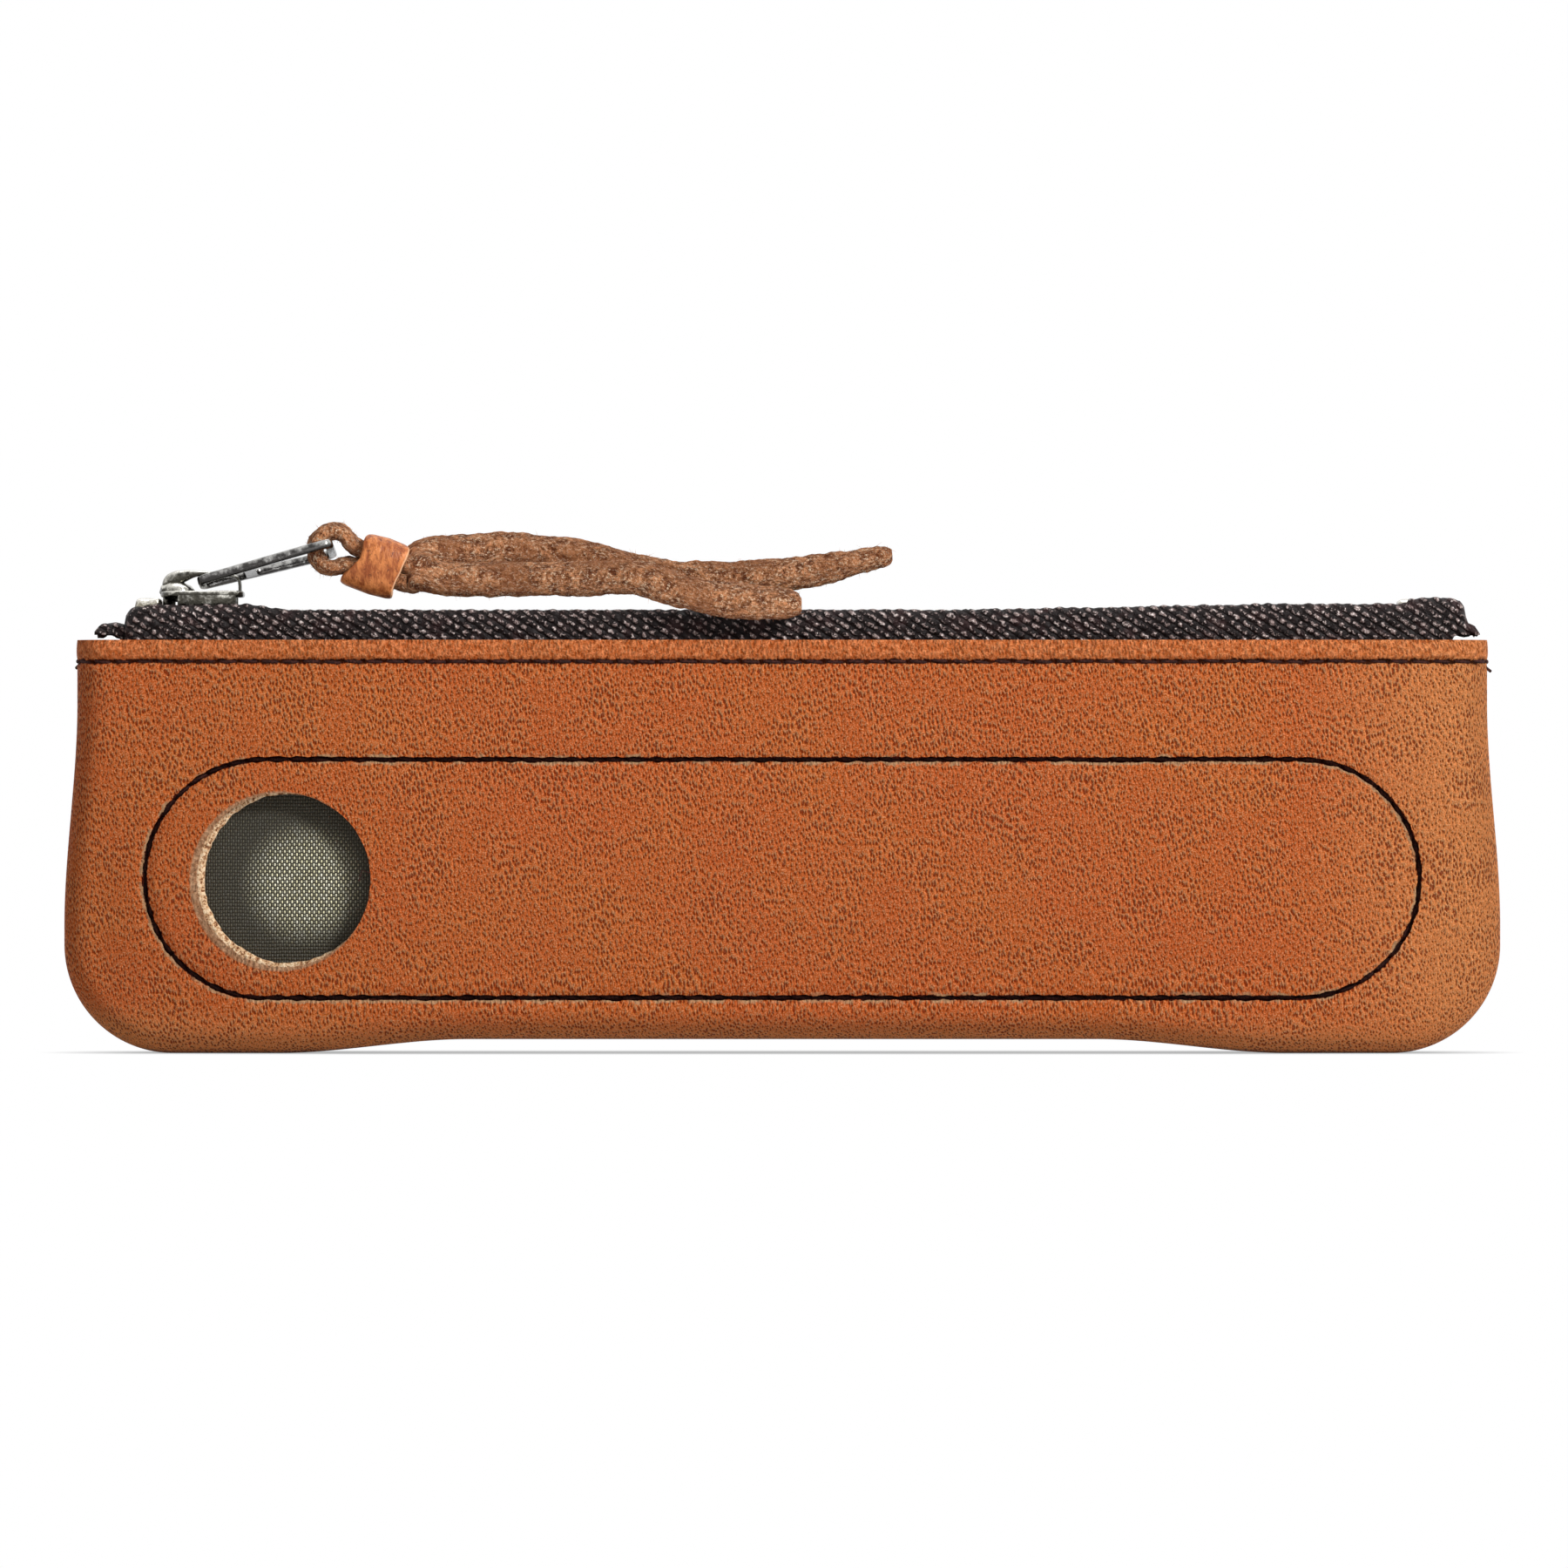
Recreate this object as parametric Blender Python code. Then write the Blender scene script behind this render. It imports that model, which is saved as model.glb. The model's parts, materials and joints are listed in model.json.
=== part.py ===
"""Zippered leather pencil case: a turned pouch of two leather halves with a stitched inlay and a
round peep hole, a cloth lining, a metal zip with its slider, and a folded suede zip pull.

Metres, +Z up. The case stands on its bottom edge with its front towards -Y, and the origin is on
the ground under the middle of the case. The zip is closed, with the slider at the left end.
"""

import math

import bmesh
import bpy
from mathutils import Matrix, Vector

for old in list(bpy.data.objects):
    bpy.data.objects.remove(old, do_unlink=True)

# Outline of the leather case, seen from the front
top_width = 0.2018
foot_width = 0.2056
leather_height = 0.0591
corner_radius = 0.0155
widening_top = 0.050
widening_foot = 0.018
foot_flat_length = 0.0153
foot_arch_rise = 0.0020
foot_arch_run = 0.027

# Depth of the case, from the seam plane to the leather's face
belly_half = 0.0130
belly_height = 0.022
belly_fall = 0.026
mouth_gap = 0.0005
foot_edge_half = 0.0065
edge_radius = 0.0050
seam_round = 0.0009
seam_valley = 0.0005
depth_power_share = 6
flat_edge_share = 0.5

# Leather, cloth and the gaps between layers
leather_thickness = 0.0016
hem_thickness = 0.0026
hem_height = 0.0031
hem_bulge = 0.0004
backing_thickness = 0.0010
lining_thickness = 0.0005
piece_gap = 0.0003
tape_thickness = 0.0007

# Thread
thread_radius = 0.0003
thread_gap = 0.0002
hidden_thread_radius = 0.00025

# Inlay and peep hole
inlay_side_margin = 0.0099
inlay_height = 0.0340
inlay_middle_height = 0.0250
inlay_seam_gap = 0.0012
backing_margin = 0.0045
hole_radius = 0.01275
hole_end_distance = 0.0195
hole_drop = 0.00025

# Zip chain
tape_stand = 0.0049
tape_wall_half = 0.0064
tape_tuck = 0.0066
tape_bend = 0.0015
chain_half_width = 0.0029
chain_height = 0.0026
tooth_pitch = 0.0025
tooth_width = 0.0010
tooth_overlap = 0.0008
tooth_chamfer = 0.0003
bead_width = 0.0013
tape_left_inset = 0.0068
tape_right_inset = 0.0031
tape_tail_length = 0.0042
tape_tail_stand = 0.0022
tape_right_rise = 0.0008
chain_right_inset = 0.0129
stop_length = 0.0030
stop_jaw = 0.0015
stop_jaw_thickness = 0.0007

# Slider
slider_inset = 0.0177
slider_length = 0.0120
slider_nose_half = 0.0043
slider_tail_half = 0.0040
plate_thickness = 0.00095
plate_gap = 0.0003
flange_thickness = 0.0008
post_length = 0.0022
post_half_width = 0.0009
plate_edge_bevel = 0.0002
bridge_half_width = 0.0014
bridge_thickness = 0.0007
bridge_nose_length = 0.0024
bridge_post_length = 0.0006
bridge_room = 0.00235

# Zip pull
pull_bar_half = 0.0006
pull_bar_bevel = 0.0003
pull_web_start = 0.0062
pull_web_length = 0.0018
pull_length = 0.0190
pull_near_half = 0.0022
pull_far_half = 0.0042
pull_corner_radius = 0.0010
pull_tilt_degrees = 14.8
pull_roll_degrees = 10.0

# Suede strap and its keeper
strap_width = 0.0050
strap_thickness = 0.0022
strap_loop_radius = 0.00265
strap_bar_gap = 0.0005
strap_fold_gap = 0.0003
strap_slope_degrees = -18.0
keeper_distance = 0.0075
keeper_length = 0.0056
keeper_thickness = 0.0011
keeper_lead = 0.0012
rear_tail_length = 0.0690
front_tail_length = 0.0560

# Counts
hem_columns = 10
corner_steps = 3
tube_sides_level = 1
over = 0.0020


def finish(name, colour, roughness, metallic=0.0):
    """The plain finish of one piece."""
    material = bpy.data.materials.new(name)
    material.use_nodes = True
    shader = material.node_tree.nodes["Principled BSDF"]
    shader.inputs["Base Color"].default_value = (*colour, 1.0)
    shader.inputs["Roughness"].default_value = roughness
    shader.inputs["Metallic"].default_value = metallic
    return material


leather_colour = (0.45, 0.15, 0.05)
raw_edge_colour = (0.70, 0.38, 0.19)
suede_colour = (0.36, 0.16, 0.07)
thread_colour = (0.03, 0.01, 0.008)
tape_colour = (0.035, 0.025, 0.025)
canvas_colour = (0.14, 0.13, 0.08)
metal_colour = (0.35, 0.33, 0.31)


def piece(name, vertices, faces, material):
    """A mesh object with its faces turned outwards."""
    mesh = bpy.data.meshes.new(name)
    mesh.from_pydata([tuple(v) for v in vertices], [], faces)
    shell = bmesh.new()
    shell.from_mesh(mesh)
    bmesh.ops.recalc_face_normals(shell, faces=shell.faces)
    shell.to_mesh(mesh)
    shell.free()
    mesh.materials.append(material)
    made = bpy.data.objects.new(name, mesh)
    bpy.context.scene.collection.objects.link(made)
    return made


def guide(made):
    """Marks an object that only cuts or joins others."""
    made.hide_render = True
    made.display_type = "WIRE"
    return made


def combine(made, other, operation):
    boolean = made.modifiers.new(other.name, "BOOLEAN")
    boolean.operation = operation
    boolean.solver = "EXACT"
    boolean.object = other


def rounding(made, width):
    """A small chamfer on every sharp edge."""
    bevel = made.modifiers.new("rounding", "BEVEL")
    bevel.width = width
    bevel.limit_method = "ANGLE"
    bevel.segments = 1


def extrusion(name, outline, axis, low, high, material):
    """A closed outline pushed out along axis 0, 1 or 2, from low to high."""
    count = len(outline)
    vertices = []
    for level in (low, high):
        for a, b in outline:
            point = [a, b]
            point.insert(axis, level)
            vertices.append(point)
    faces = [list(range(count)), list(range(count, 2 * count))]
    for i in range(count):
        j = (i + 1) % count
        faces.append([i, j, count + j, count + i])
    return piece(name, vertices, faces, material)


def tube(name, points, radius, closed, material):
    """A round cord or wire along the points."""
    curve = bpy.data.curves.new(name, "CURVE")
    curve.dimensions = "3D"
    curve.bevel_depth = radius
    curve.bevel_resolution = tube_sides_level
    curve.use_fill_caps = True
    spline = curve.splines.new("POLY")
    spline.points.add(len(points) - 1)
    for target, point in zip(spline.points, points):
        target.co = (*point, 1.0)
    spline.use_cyclic_u = closed
    curve.materials.append(material)
    made = bpy.data.objects.new(name, curve)
    bpy.context.scene.collection.objects.link(made)
    return made


def move_origin(made, place):
    """Puts an object's origin on its joint without moving its shape."""
    made.data.transform(Matrix.Translation(-Vector(place)))
    made.location = place


def smooth(share):
    share = min(max(share, 0.0), 1.0)
    return share * share * (3 - 2 * share)


# Form of the pouch, shared by every layer of it
mouth_half = tape_wall_half + mouth_gap + hem_thickness
foot_centre = foot_width / 2 - corner_radius
foot_flat_start = foot_centre - foot_flat_length
stitch_height = leather_height - hem_height
widest = max(top_width, foot_width)
narrowest = min(top_width, foot_width)

# Places of the inlay, the hole and the zip on the pouch
inlay_length = narrowest - 2 * inlay_side_margin
hole_middle_x = hole_end_distance - inlay_length / 2
hole_middle_height = inlay_middle_height - hole_drop
tape_top = leather_height + tape_stand
tape_tail_top = leather_height + tape_tail_stand
tape_left_end = tape_left_inset - top_width / 2
tape_right_end = top_width / 2 - tape_right_inset
chain_right_end = top_width / 2 - chain_right_inset
slider_middle_x = slider_inset - top_width / 2


def side_half_width(z):
    widening = smooth((widening_top - z) / (widening_top - widening_foot))
    return (top_width + (foot_width - top_width) * widening) / 2


def bottom_height(x):
    return foot_arch_rise * smooth((foot_flat_start - abs(x)) / foot_arch_run)


def half_depth(x, z):
    """From the seam plane to the leather's face."""
    rise = z - belly_height
    span = leather_height - belly_height if rise > 0 else belly_fall
    middle = mouth_half + (belly_half - mouth_half) * (1 - (rise / span) ** 2)
    edge = foot_edge_half + (mouth_half - foot_edge_half) * smooth(z / leather_height)
    across = 1 - (2 * abs(x) / widest) ** depth_power_share
    return edge + (middle - edge) * across


def hem_relief(z):
    """The turned hem stands proud, and the stitch line under it is drawn in."""
    if abs(z - stitch_height) < thread_radius / 2:
        return -thread_radius - thread_gap
    if z < stitch_height:
        return 0.0
    share = (z - stitch_height) / hem_height
    return hem_bulge * math.sin(math.pi * share)


def border_line(rows, columns):
    """The case's outline from the top left down, along the foot and up, as points and normals."""
    line = [((-side_half_width(z), z), (-1.0, 0.0)) for z in rows]
    for step in range(1, 2 * corner_steps):
        angle = math.pi * (1 + step / (4 * corner_steps))
        normal = (math.cos(angle), math.sin(angle))
        point = (corner_radius * normal[0] - foot_centre, corner_radius * (1 + normal[1]))
        line.append((point, normal))
    line += [((x, bottom_height(x)), (0.0, -1.0)) for x in columns]
    left = line[: len(rows) + 2 * corner_steps - 1]
    line += [((-x, z), (-across, up)) for (x, z), (across, up) in reversed(left)]
    return line


def pouch_half(name, side, under, thickness, top, rows, columns, arc_steps, material, hem=0.0):
    """Half a pouch that lies under the leather's face, as one sheet with a thickness.

    side is -1 for the front and 1 for the back. The sheet turns from the seam round the edge,
    and its face is a grid that follows the outline.
    """
    line = border_line(rows, columns)
    corner = len(rows) - 1 + corner_steps
    far = len(line) - 1 - corner
    radius = edge_radius - under
    vertices = []
    index = {}

    def add(key, x, y, z):
        index[key] = len(vertices)
        vertices.append((x, side * y, z))

    profile = [(seam_valley, 0.0), (0.0, seam_round), (0.0, None)]
    profile += [(None, math.pi / 2 * step / arc_steps) for step in range(1, arc_steps + 1)]
    for s, ((x, z), (across, up)) in enumerate(line):
        inner_x = x - across * edge_radius
        inner_z = z - up * edge_radius
        depth = half_depth(inner_x, inner_z) - under
        flat = depth * flat_edge_share
        relief = hem_relief(z) if hem else 0.0
        for k, (inset, turn) in enumerate(profile):
            if inset is None:
                away = under + radius * (1 - math.cos(turn)) - relief * math.cos(turn)
                y = flat + (depth - flat) * math.sin(turn) + relief * math.sin(turn)
            else:
                away = under + inset - relief
                y = flat if turn is None else max(turn, piece_gap / 2)
            add((k, s), x - across * away, y, z - up * away)
    last = len(profile) - 1

    def ring(s):
        return Vector(vertices[index[(last, s)]])

    low_left = ring(corner)
    low_right = ring(far)
    for j in range(corner + 1):
        left = ring(corner - j)
        right = ring(far + j)
        lift = (left.z - low_left.z) / (top - low_left.z)
        for i in range(far - corner + 1):
            if i == 0:
                index[("face", i, j)] = index[(last, corner - j)]
            elif i == far - corner:
                index[("face", i, j)] = index[(last, far + j)]
            elif j == 0:
                index[("face", i, j)] = index[(last, corner + i)]
            else:
                below = ring(corner + i)
                share = (below.x - low_left.x) / (low_right.x - low_left.x)
                x = left.x + (right.x - left.x) * share
                z = left.z + (1 - lift) ** 2 * (below.z - low_left.z)
                relief = hem_relief(z) if hem else 0.0
                add(("face", i, j), x, half_depth(x, z) - under + relief, z)
    faces = []
    for k in range(last):
        for s in range(len(line) - 1):
            faces.append([index[(k, s)], index[(k, s + 1)], index[(k + 1, s + 1)], index[(k + 1, s)]])
    for j in range(corner):
        for i in range(far - corner):
            corners = ((i, j), (i + 1, j), (i + 1, j + 1), (i, j + 1))
            faces.append([index[("face", a, b)] for a, b in corners])
    if side > 0:
        faces = [face[::-1] for face in faces]
    mesh = bpy.data.meshes.new(name)
    mesh.from_pydata(vertices, [], faces)
    mesh.materials.append(material)
    mesh.shade_smooth()
    made = bpy.data.objects.new(name, mesh)
    bpy.context.scene.collection.objects.link(made)
    wall = made.modifiers.new("wall", "SOLIDIFY")
    wall.thickness = thickness
    wall.offset = -1.0
    wall.use_even_offset = True
    if hem:
        thick = made.vertex_groups.new(name="hem")
        for number, vertex in enumerate(mesh.vertices):
            if vertex.co.z > stitch_height + thread_radius:
                thick.add([number], 1.0, "REPLACE")
        wall.vertex_group = "hem"
        wall.thickness = hem
        wall.thickness_vertex_group = thickness / hem
    return made


def spread(start, end, count):
    return [start + (end - start) * i / count for i in range(count + 1)]


def foot_columns(middle_count):
    """Places along the foot: flat feet, the ramps of the arch and its middle."""
    ramp_end = foot_flat_start - foot_arch_run
    left = [-foot_centre, -foot_flat_start]
    left += spread(-foot_flat_start, -ramp_end, 3)[1:]
    middle = spread(-ramp_end, ramp_end, middle_count)[1:-1]
    return left + middle + [-x for x in reversed(left)]


def wall_rows(top, count):
    return spread(top, corner_radius, count)


hem_rows = [
    leather_height,
    leather_height - hem_height / 6,
    leather_height - hem_height / 2,
    stitch_height + 2 * thread_radius,
    stitch_height,
    stitch_height - 2 * thread_radius,
]
leather_rows = hem_rows + wall_rows(stitch_height - 2 * thread_radius, 5)[1:]
leather_columns = foot_columns(hem_columns)


def leather_half(name, side, material):
    return pouch_half(
        name, side, 0.0, leather_thickness, leather_height, leather_rows, leather_columns, 3,
        material, hem_thickness,
    )


def stadium(length, height, middle_height, arc_count, run_count):
    """An outline with straight runs and round ends, centred on the case."""
    radius = height / 2
    reach = length / 2 - radius
    points = []
    for end in (1, -1):
        for step in range(arc_count + 1):
            angle = end * math.pi / 2 - math.pi * step / arc_count
            points.append((end * reach + radius * math.cos(angle), middle_height + radius * math.sin(angle)))
        for step in range(1, run_count):
            along = end * reach * (1 - 2 * step / run_count)
            points.append((along, middle_height - end * radius))
    return points


# Front leather, with the window that takes the inlay
leather = finish("leather", leather_colour, 0.5)
front_panel = leather_half("front_panel", -1, leather)
front_reach = belly_half + over
window = guide(
    extrusion(
        "window_cutter",
        stadium(
            inlay_length + inlay_seam_gap, inlay_height + inlay_seam_gap, inlay_middle_height, 12, 6
        ),
        1, -front_reach, -edge_radius / 2, leather,
    )
)
combine(front_panel, window, "DIFFERENCE")

# Back leather
back_panel = leather_half("back_panel", 1, finish("leather_back", leather_colour, 0.5))

# Inlay, cut from the same curved sheet, with the peep hole
inlay_panel = leather_half("inlay_panel", -1, finish("leather_inlay", leather_colour, 0.48))
inlay_cutter = guide(
    extrusion(
        "inlay_cutter",
        stadium(
            inlay_length - inlay_seam_gap, inlay_height - inlay_seam_gap, inlay_middle_height, 12, 6
        ),
        1, -front_reach, -edge_radius / 2, leather,
    )
)
combine(inlay_panel, inlay_cutter, "INTERSECT")
hole_outline = [
    (
        hole_middle_x + hole_radius * math.cos(2 * math.pi * step / 24),
        hole_middle_height + hole_radius * math.sin(2 * math.pi * step / 24),
    )
    for step in range(24)
]
hole_cutter = guide(
    extrusion("hole_cutter", hole_outline, 1, -front_reach, -edge_radius / 2, leather)
)
combine(inlay_panel, hole_cutter, "DIFFERENCE")

# Backing leather, which carries the inlay and the edge of the window
backing_under = leather_thickness + piece_gap
inlay_backing = pouch_half(
    "inlay_backing", -1, backing_under, backing_thickness, leather_height - hem_height,
    wall_rows(leather_height - hem_height, 5), foot_columns(4), 2,
    finish("leather_split", raw_edge_colour, 0.85),
)
backing_cutter = guide(
    extrusion(
        "backing_cutter",
        stadium(
            inlay_length + 2 * backing_margin, inlay_height + 2 * backing_margin,
            inlay_middle_height, 8, 4,
        ),
        1, -front_reach, -edge_radius / 2, leather,
    )
)
combine(inlay_backing, backing_cutter, "INTERSECT")
combine(inlay_backing, hole_cutter, "DIFFERENCE")

# Cloth lining, a bag of two halves inside the leather
lining_under = backing_under + backing_thickness + piece_gap
lining_top = leather_height - tape_tuck - piece_gap
canvas = finish("canvas", canvas_colour, 0.9)
front_lining = pouch_half(
    "front_lining", -1, lining_under, lining_thickness, lining_top, wall_rows(lining_top, 4),
    foot_columns(4), 2, canvas,
)
back_lining = pouch_half(
    "back_lining", 1, lining_under, lining_thickness, lining_top, wall_rows(lining_top, 4),
    foot_columns(4), 2, finish("canvas_back", canvas_colour, 0.9),
)

# Threads: one along each hem, one round the inlay, and the two hidden closing seams
thread = finish("thread", thread_colour, 0.7)


def hem_path(side):
    """Along the stitch line, from one side seam over the face to the other."""
    drawn_in = -thread_gap
    width = side_half_width(stitch_height)
    depth = half_depth(width - edge_radius, stitch_height)
    flat = depth * flat_edge_share
    left = [(-width + drawn_in, seam_round), (-width + drawn_in, flat)]
    for step in (1, 2, 3):
        turn = math.pi / 2 * step / 3
        away = edge_radius * (1 - math.cos(turn)) + drawn_in * math.cos(turn)
        left.append((away - width, flat + (depth - flat) * math.sin(turn) - drawn_in * math.sin(turn)))
    reach = width - edge_radius
    across = spread(-reach, reach, 24)[1:-1]
    middle = [(x, half_depth(x, stitch_height) - drawn_in) for x in across]
    line = left + middle + [(-x, y) for x, y in reversed(left)]
    return [(x, side * y, stitch_height) for x, y in line]


front_hem_thread = tube("front_hem_thread", hem_path(-1), thread_radius, False, thread)
back_hem_thread = tube("back_hem_thread", hem_path(1), thread_radius, False, thread)
inlay_line = stadium(inlay_length, inlay_height, inlay_middle_height, 12, 12)
inlay_path = [(x, thread_radius - half_depth(x, z), z) for x, z in inlay_line]
inlay_thread = tube("inlay_thread", inlay_path, thread_radius, True, thread)


def seam_path(away, top):
    """Along the inside of the outline, down one side, along the foot and up the other."""
    rows = wall_rows(top, 4)
    line = border_line(rows, foot_columns(8))
    return [(x - across * away, 0.0, z - up * away) for (x, z), (across, up) in line]


outer_seam_away = (leather_thickness + lining_under) / 2
inner_seam_away = lining_under + lining_thickness + piece_gap + hidden_thread_radius
closing_seam_thread = tube(
    "closing_seam_thread", seam_path(outer_seam_away, lining_top), hidden_thread_radius, False, thread
)
lining_seam_thread = tube(
    "lining_seam_thread", seam_path(inner_seam_away, lining_top), hidden_thread_radius, False, thread
)

# Zip tapes: a wall that stands out of the hem and turns in over the chain
tape_tuck_height = leather_height - tape_tuck
rim_height = leather_height + piece_gap + hem_bulge
tape_edge = chain_half_width + piece_gap
inside_right = top_width / 2 - hem_thickness - edge_radius / 2
notch = tape_bend / 8


def tape_stations():
    """Bottom, top and inner edge of the tape at places along it, with its folded ends."""
    left_tail = tape_left_end - tape_tail_length
    right_tail = tape_right_end + tape_tail_length / 2
    right_top = tape_top + tape_right_rise
    low_top = tape_tail_top
    rise_start = chain_right_end + stop_length + 2 * piece_gap
    return [
        (left_tail, rim_height, low_top - notch, piece_gap),
        (tape_left_end - 4 * notch, rim_height, low_top, piece_gap),
        (tape_left_end - 2 * notch, tape_tuck_height, low_top + notch, piece_gap),
        (tape_left_end, tape_tuck_height, tape_top - 3 * notch, piece_gap),
        (tape_left_end + 3 * notch, tape_tuck_height, tape_top, tape_edge),
        (rise_start, tape_tuck_height, tape_top, tape_edge),
        (rise_start + 2 * notch, tape_tuck_height, tape_top + notch, piece_gap),
        ((rise_start + tape_right_end) / 2, tape_tuck_height, right_top - notch, piece_gap),
        (inside_right, tape_tuck_height, right_top, piece_gap),
        (inside_right + notch, rim_height, right_top, piece_gap),
        (tape_right_end - 3 * notch, rim_height, right_top - notch, piece_gap),
        (tape_right_end, rim_height, right_top - 6 * notch, piece_gap),
        (tape_right_end + notch, rim_height, low_top, piece_gap),
        (right_tail, rim_height, low_top - notch, piece_gap),
    ]


bend_limit_share = 0.6


def tape_section(bottom, top, inner):
    bend = min(tape_bend, (top - bottom) * bend_limit_share)
    inner_bend = bend - min(tape_thickness, bend * bend_limit_share)
    wall = tape_wall_half
    points = [(wall, bottom)]
    for step in range(4):
        turn = math.pi / 2 * step / 3
        points.append((wall - bend + bend * math.cos(turn), top - bend + bend * math.sin(turn)))
    points += [(inner, top), (inner, top - tape_thickness)]
    for step in range(3, -1, -1):
        turn = math.pi / 2 * step / 3
        points.append(
            (wall - bend + inner_bend * math.cos(turn), top - bend + (bend - tape_thickness) * math.sin(turn))
        )
    points.append((wall - bend + inner_bend, bottom))
    return points


def tape(name, side, material):
    vertices = []
    stations = tape_stations()
    for x, bottom, top, inner in stations:
        vertices += [(x, side * y, z) for y, z in tape_section(bottom, top, inner)]
    count = len(tape_section(rim_height, tape_top, tape_edge))
    faces = [list(range(count)), list(range(len(vertices) - count, len(vertices)))]
    for station in range(len(stations) - 1):
        base = station * count
        for i in range(count):
            j = (i + 1) % count
            faces.append([base + i, base + j, base + count + j, base + count + i])
    return piece(name, vertices, faces, material)


tape_finish = finish("zip_tape", tape_colour, 0.8)
front_zip_tape = tape("front_zip_tape", -1, tape_finish)
back_zip_tape = tape("back_zip_tape", 1, tape_finish)

# Zip teeth: two combs whose teeth lie between each other
chain_middle = tape_top - tape_thickness / 2
metal = finish("metal", metal_colour, 0.3, 1.0)
slider_left = slider_middle_x - slider_length / 2
slider_right = slider_middle_x + slider_length / 2
chain_start = slider_left + post_length + 2 * plate_gap


def comb(name, side, shift):
    """Teeth on a corded edge. Each reaches past the middle, into the gap between two others."""
    bead_edge = chain_half_width - bead_width
    root = (tooth_pitch - tooth_width) / 2
    count = int((chain_right_end - chain_start - shift) / tooth_pitch)
    outline = [(chain_start, chain_half_width), (chain_start, bead_edge)]
    for number in range(count):
        start = chain_start + shift + number * tooth_pitch + root
        outline += [
            (start, bead_edge),
            (start, tooth_chamfer - tooth_overlap),
            (start + tooth_chamfer, -tooth_overlap),
            (start + tooth_width - tooth_chamfer, -tooth_overlap),
            (start + tooth_width, tooth_chamfer - tooth_overlap),
            (start + tooth_width, bead_edge),
        ]
    outline += [(chain_right_end, bead_edge), (chain_right_end, chain_half_width)]
    low = chain_middle - chain_height / 2
    return extrusion(
        name, [(x, side * y) for x, y in outline], 2, low, low + chain_height, metal
    )


front_zip_teeth = comb("front_zip_teeth", -1, 0.0)
back_zip_teeth = comb("back_zip_teeth", 1, tooth_pitch / 2)

# Stops: a clamp on each tape before the slider, and one across both tapes at the far end
stop_bottom = chain_middle - tape_thickness / 2 - piece_gap - stop_jaw_thickness
stop_top = chain_middle + tape_thickness / 2 + piece_gap + stop_jaw_thickness


def clamp_outline(half_height):
    """Half of a clamp, from the middle out over the tape and back under it."""
    jaw = tape_edge + stop_jaw
    web = tape_edge - piece_gap
    inside = tape_thickness / 2 + piece_gap
    upper = [(jaw, half_height), (jaw, inside), (web, inside)]
    return upper + [(y, -z) for y, z in reversed(upper)]


def top_stop(name, side):
    half = clamp_outline((stop_top - stop_bottom) / 2)
    outline = [(piece_gap / 2, (stop_top - stop_bottom) / 2)] + half
    outline += [(piece_gap / 2, (stop_bottom - stop_top) / 2)]
    placed = [(side * y, chain_middle + z) for y, z in outline]
    high = slider_left - plate_gap
    return extrusion(name, placed, 0, high - stop_length, high, metal)


front_top_stop = top_stop("front_top_stop", -1)
back_top_stop = top_stop("back_top_stop", 1)
clamp = clamp_outline((stop_top - stop_bottom) / 2)
box_outline = [(y, chain_middle + z) for y, z in clamp]
box_outline += [(-y, chain_middle + z) for y, z in reversed(clamp)]
bottom_stop = extrusion(
    "bottom_stop", box_outline, 0, chain_right_end + piece_gap,
    chain_right_end + piece_gap + stop_length, metal,
)

# Slider: two plates with a post between them at the nose, side lips that hold the chain, and the
# bridge that carries the pull
channel_half = chain_height / 2 + plate_gap
lower_plate_low = chain_middle - channel_half - plate_thickness
upper_plate_low = chain_middle + channel_half
upper_plate_top = upper_plate_low + plate_thickness
lip_reach = channel_half - tape_thickness / 2 - plate_gap


def plate_outline():
    """A rounded nose that narrows to the tail, as seen from above."""
    nose = slider_nose_half
    tail = slider_tail_half
    cut = slider_nose_half / 2
    points = []
    for step in range(1, 5):
        turn = math.pi / 2 * step / 4
        points.append((slider_left + cut * (1 - math.sin(turn)), nose - cut * (1 - math.cos(turn))))
    points = [(slider_left, nose - cut)] + points[::-1][1:] + [(slider_left + cut, nose)]
    points += [(slider_right - cut / 2, tail), (slider_right, tail - cut / 2)]
    return points + [(x, -y) for x, y in reversed(points)]


def lip(name, side, low, high):
    """A rail along the plate, inside its chamfered edge."""
    start = slider_left + slider_nose_half / 2 + plate_edge_bevel
    end = slider_right - slider_nose_half / 4
    nose = slider_nose_half - plate_edge_bevel
    tail = slider_tail_half - plate_edge_bevel
    outline = [
        (start, nose), (end, tail), (end, tail - flange_thickness), (start, nose - flange_thickness),
    ]
    return guide(extrusion(name, [(x, side * y) for x, y in outline], 2, low, high, metal))


slider_body = extrusion(
    "slider_body", plate_outline(), 2, upper_plate_low, upper_plate_top, metal
)
rounding(slider_body, plate_edge_bevel)
bite = plate_thickness / 3
lower_plate = guide(
    extrusion("lower_plate", plate_outline(), 2, lower_plate_low, lower_plate_low + plate_thickness, metal)
)
post_outline = [
    (slider_left + bite, 0.0),
    (slider_left + post_length / 3, post_half_width),
    (slider_left + post_length, 0.0),
    (slider_left + post_length / 3, -post_half_width),
]
post = guide(
    extrusion("slider_post", post_outline, 2, lower_plate_low + bite, upper_plate_low + bite, metal)
)
combine(slider_body, post, "UNION")
combine(slider_body, lower_plate, "UNION")
for side, word in ((-1, "front"), (1, "back")):
    upper = lip("upper_lip_" + word, side, upper_plate_low - lip_reach, upper_plate_low + bite)
    lower = lip(
        "lower_lip_" + word, side, lower_plate_low + plate_thickness - bite,
        lower_plate_low + plate_thickness + lip_reach,
    )
    combine(slider_body, upper, "UNION")
    combine(slider_body, lower, "UNION")

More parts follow.
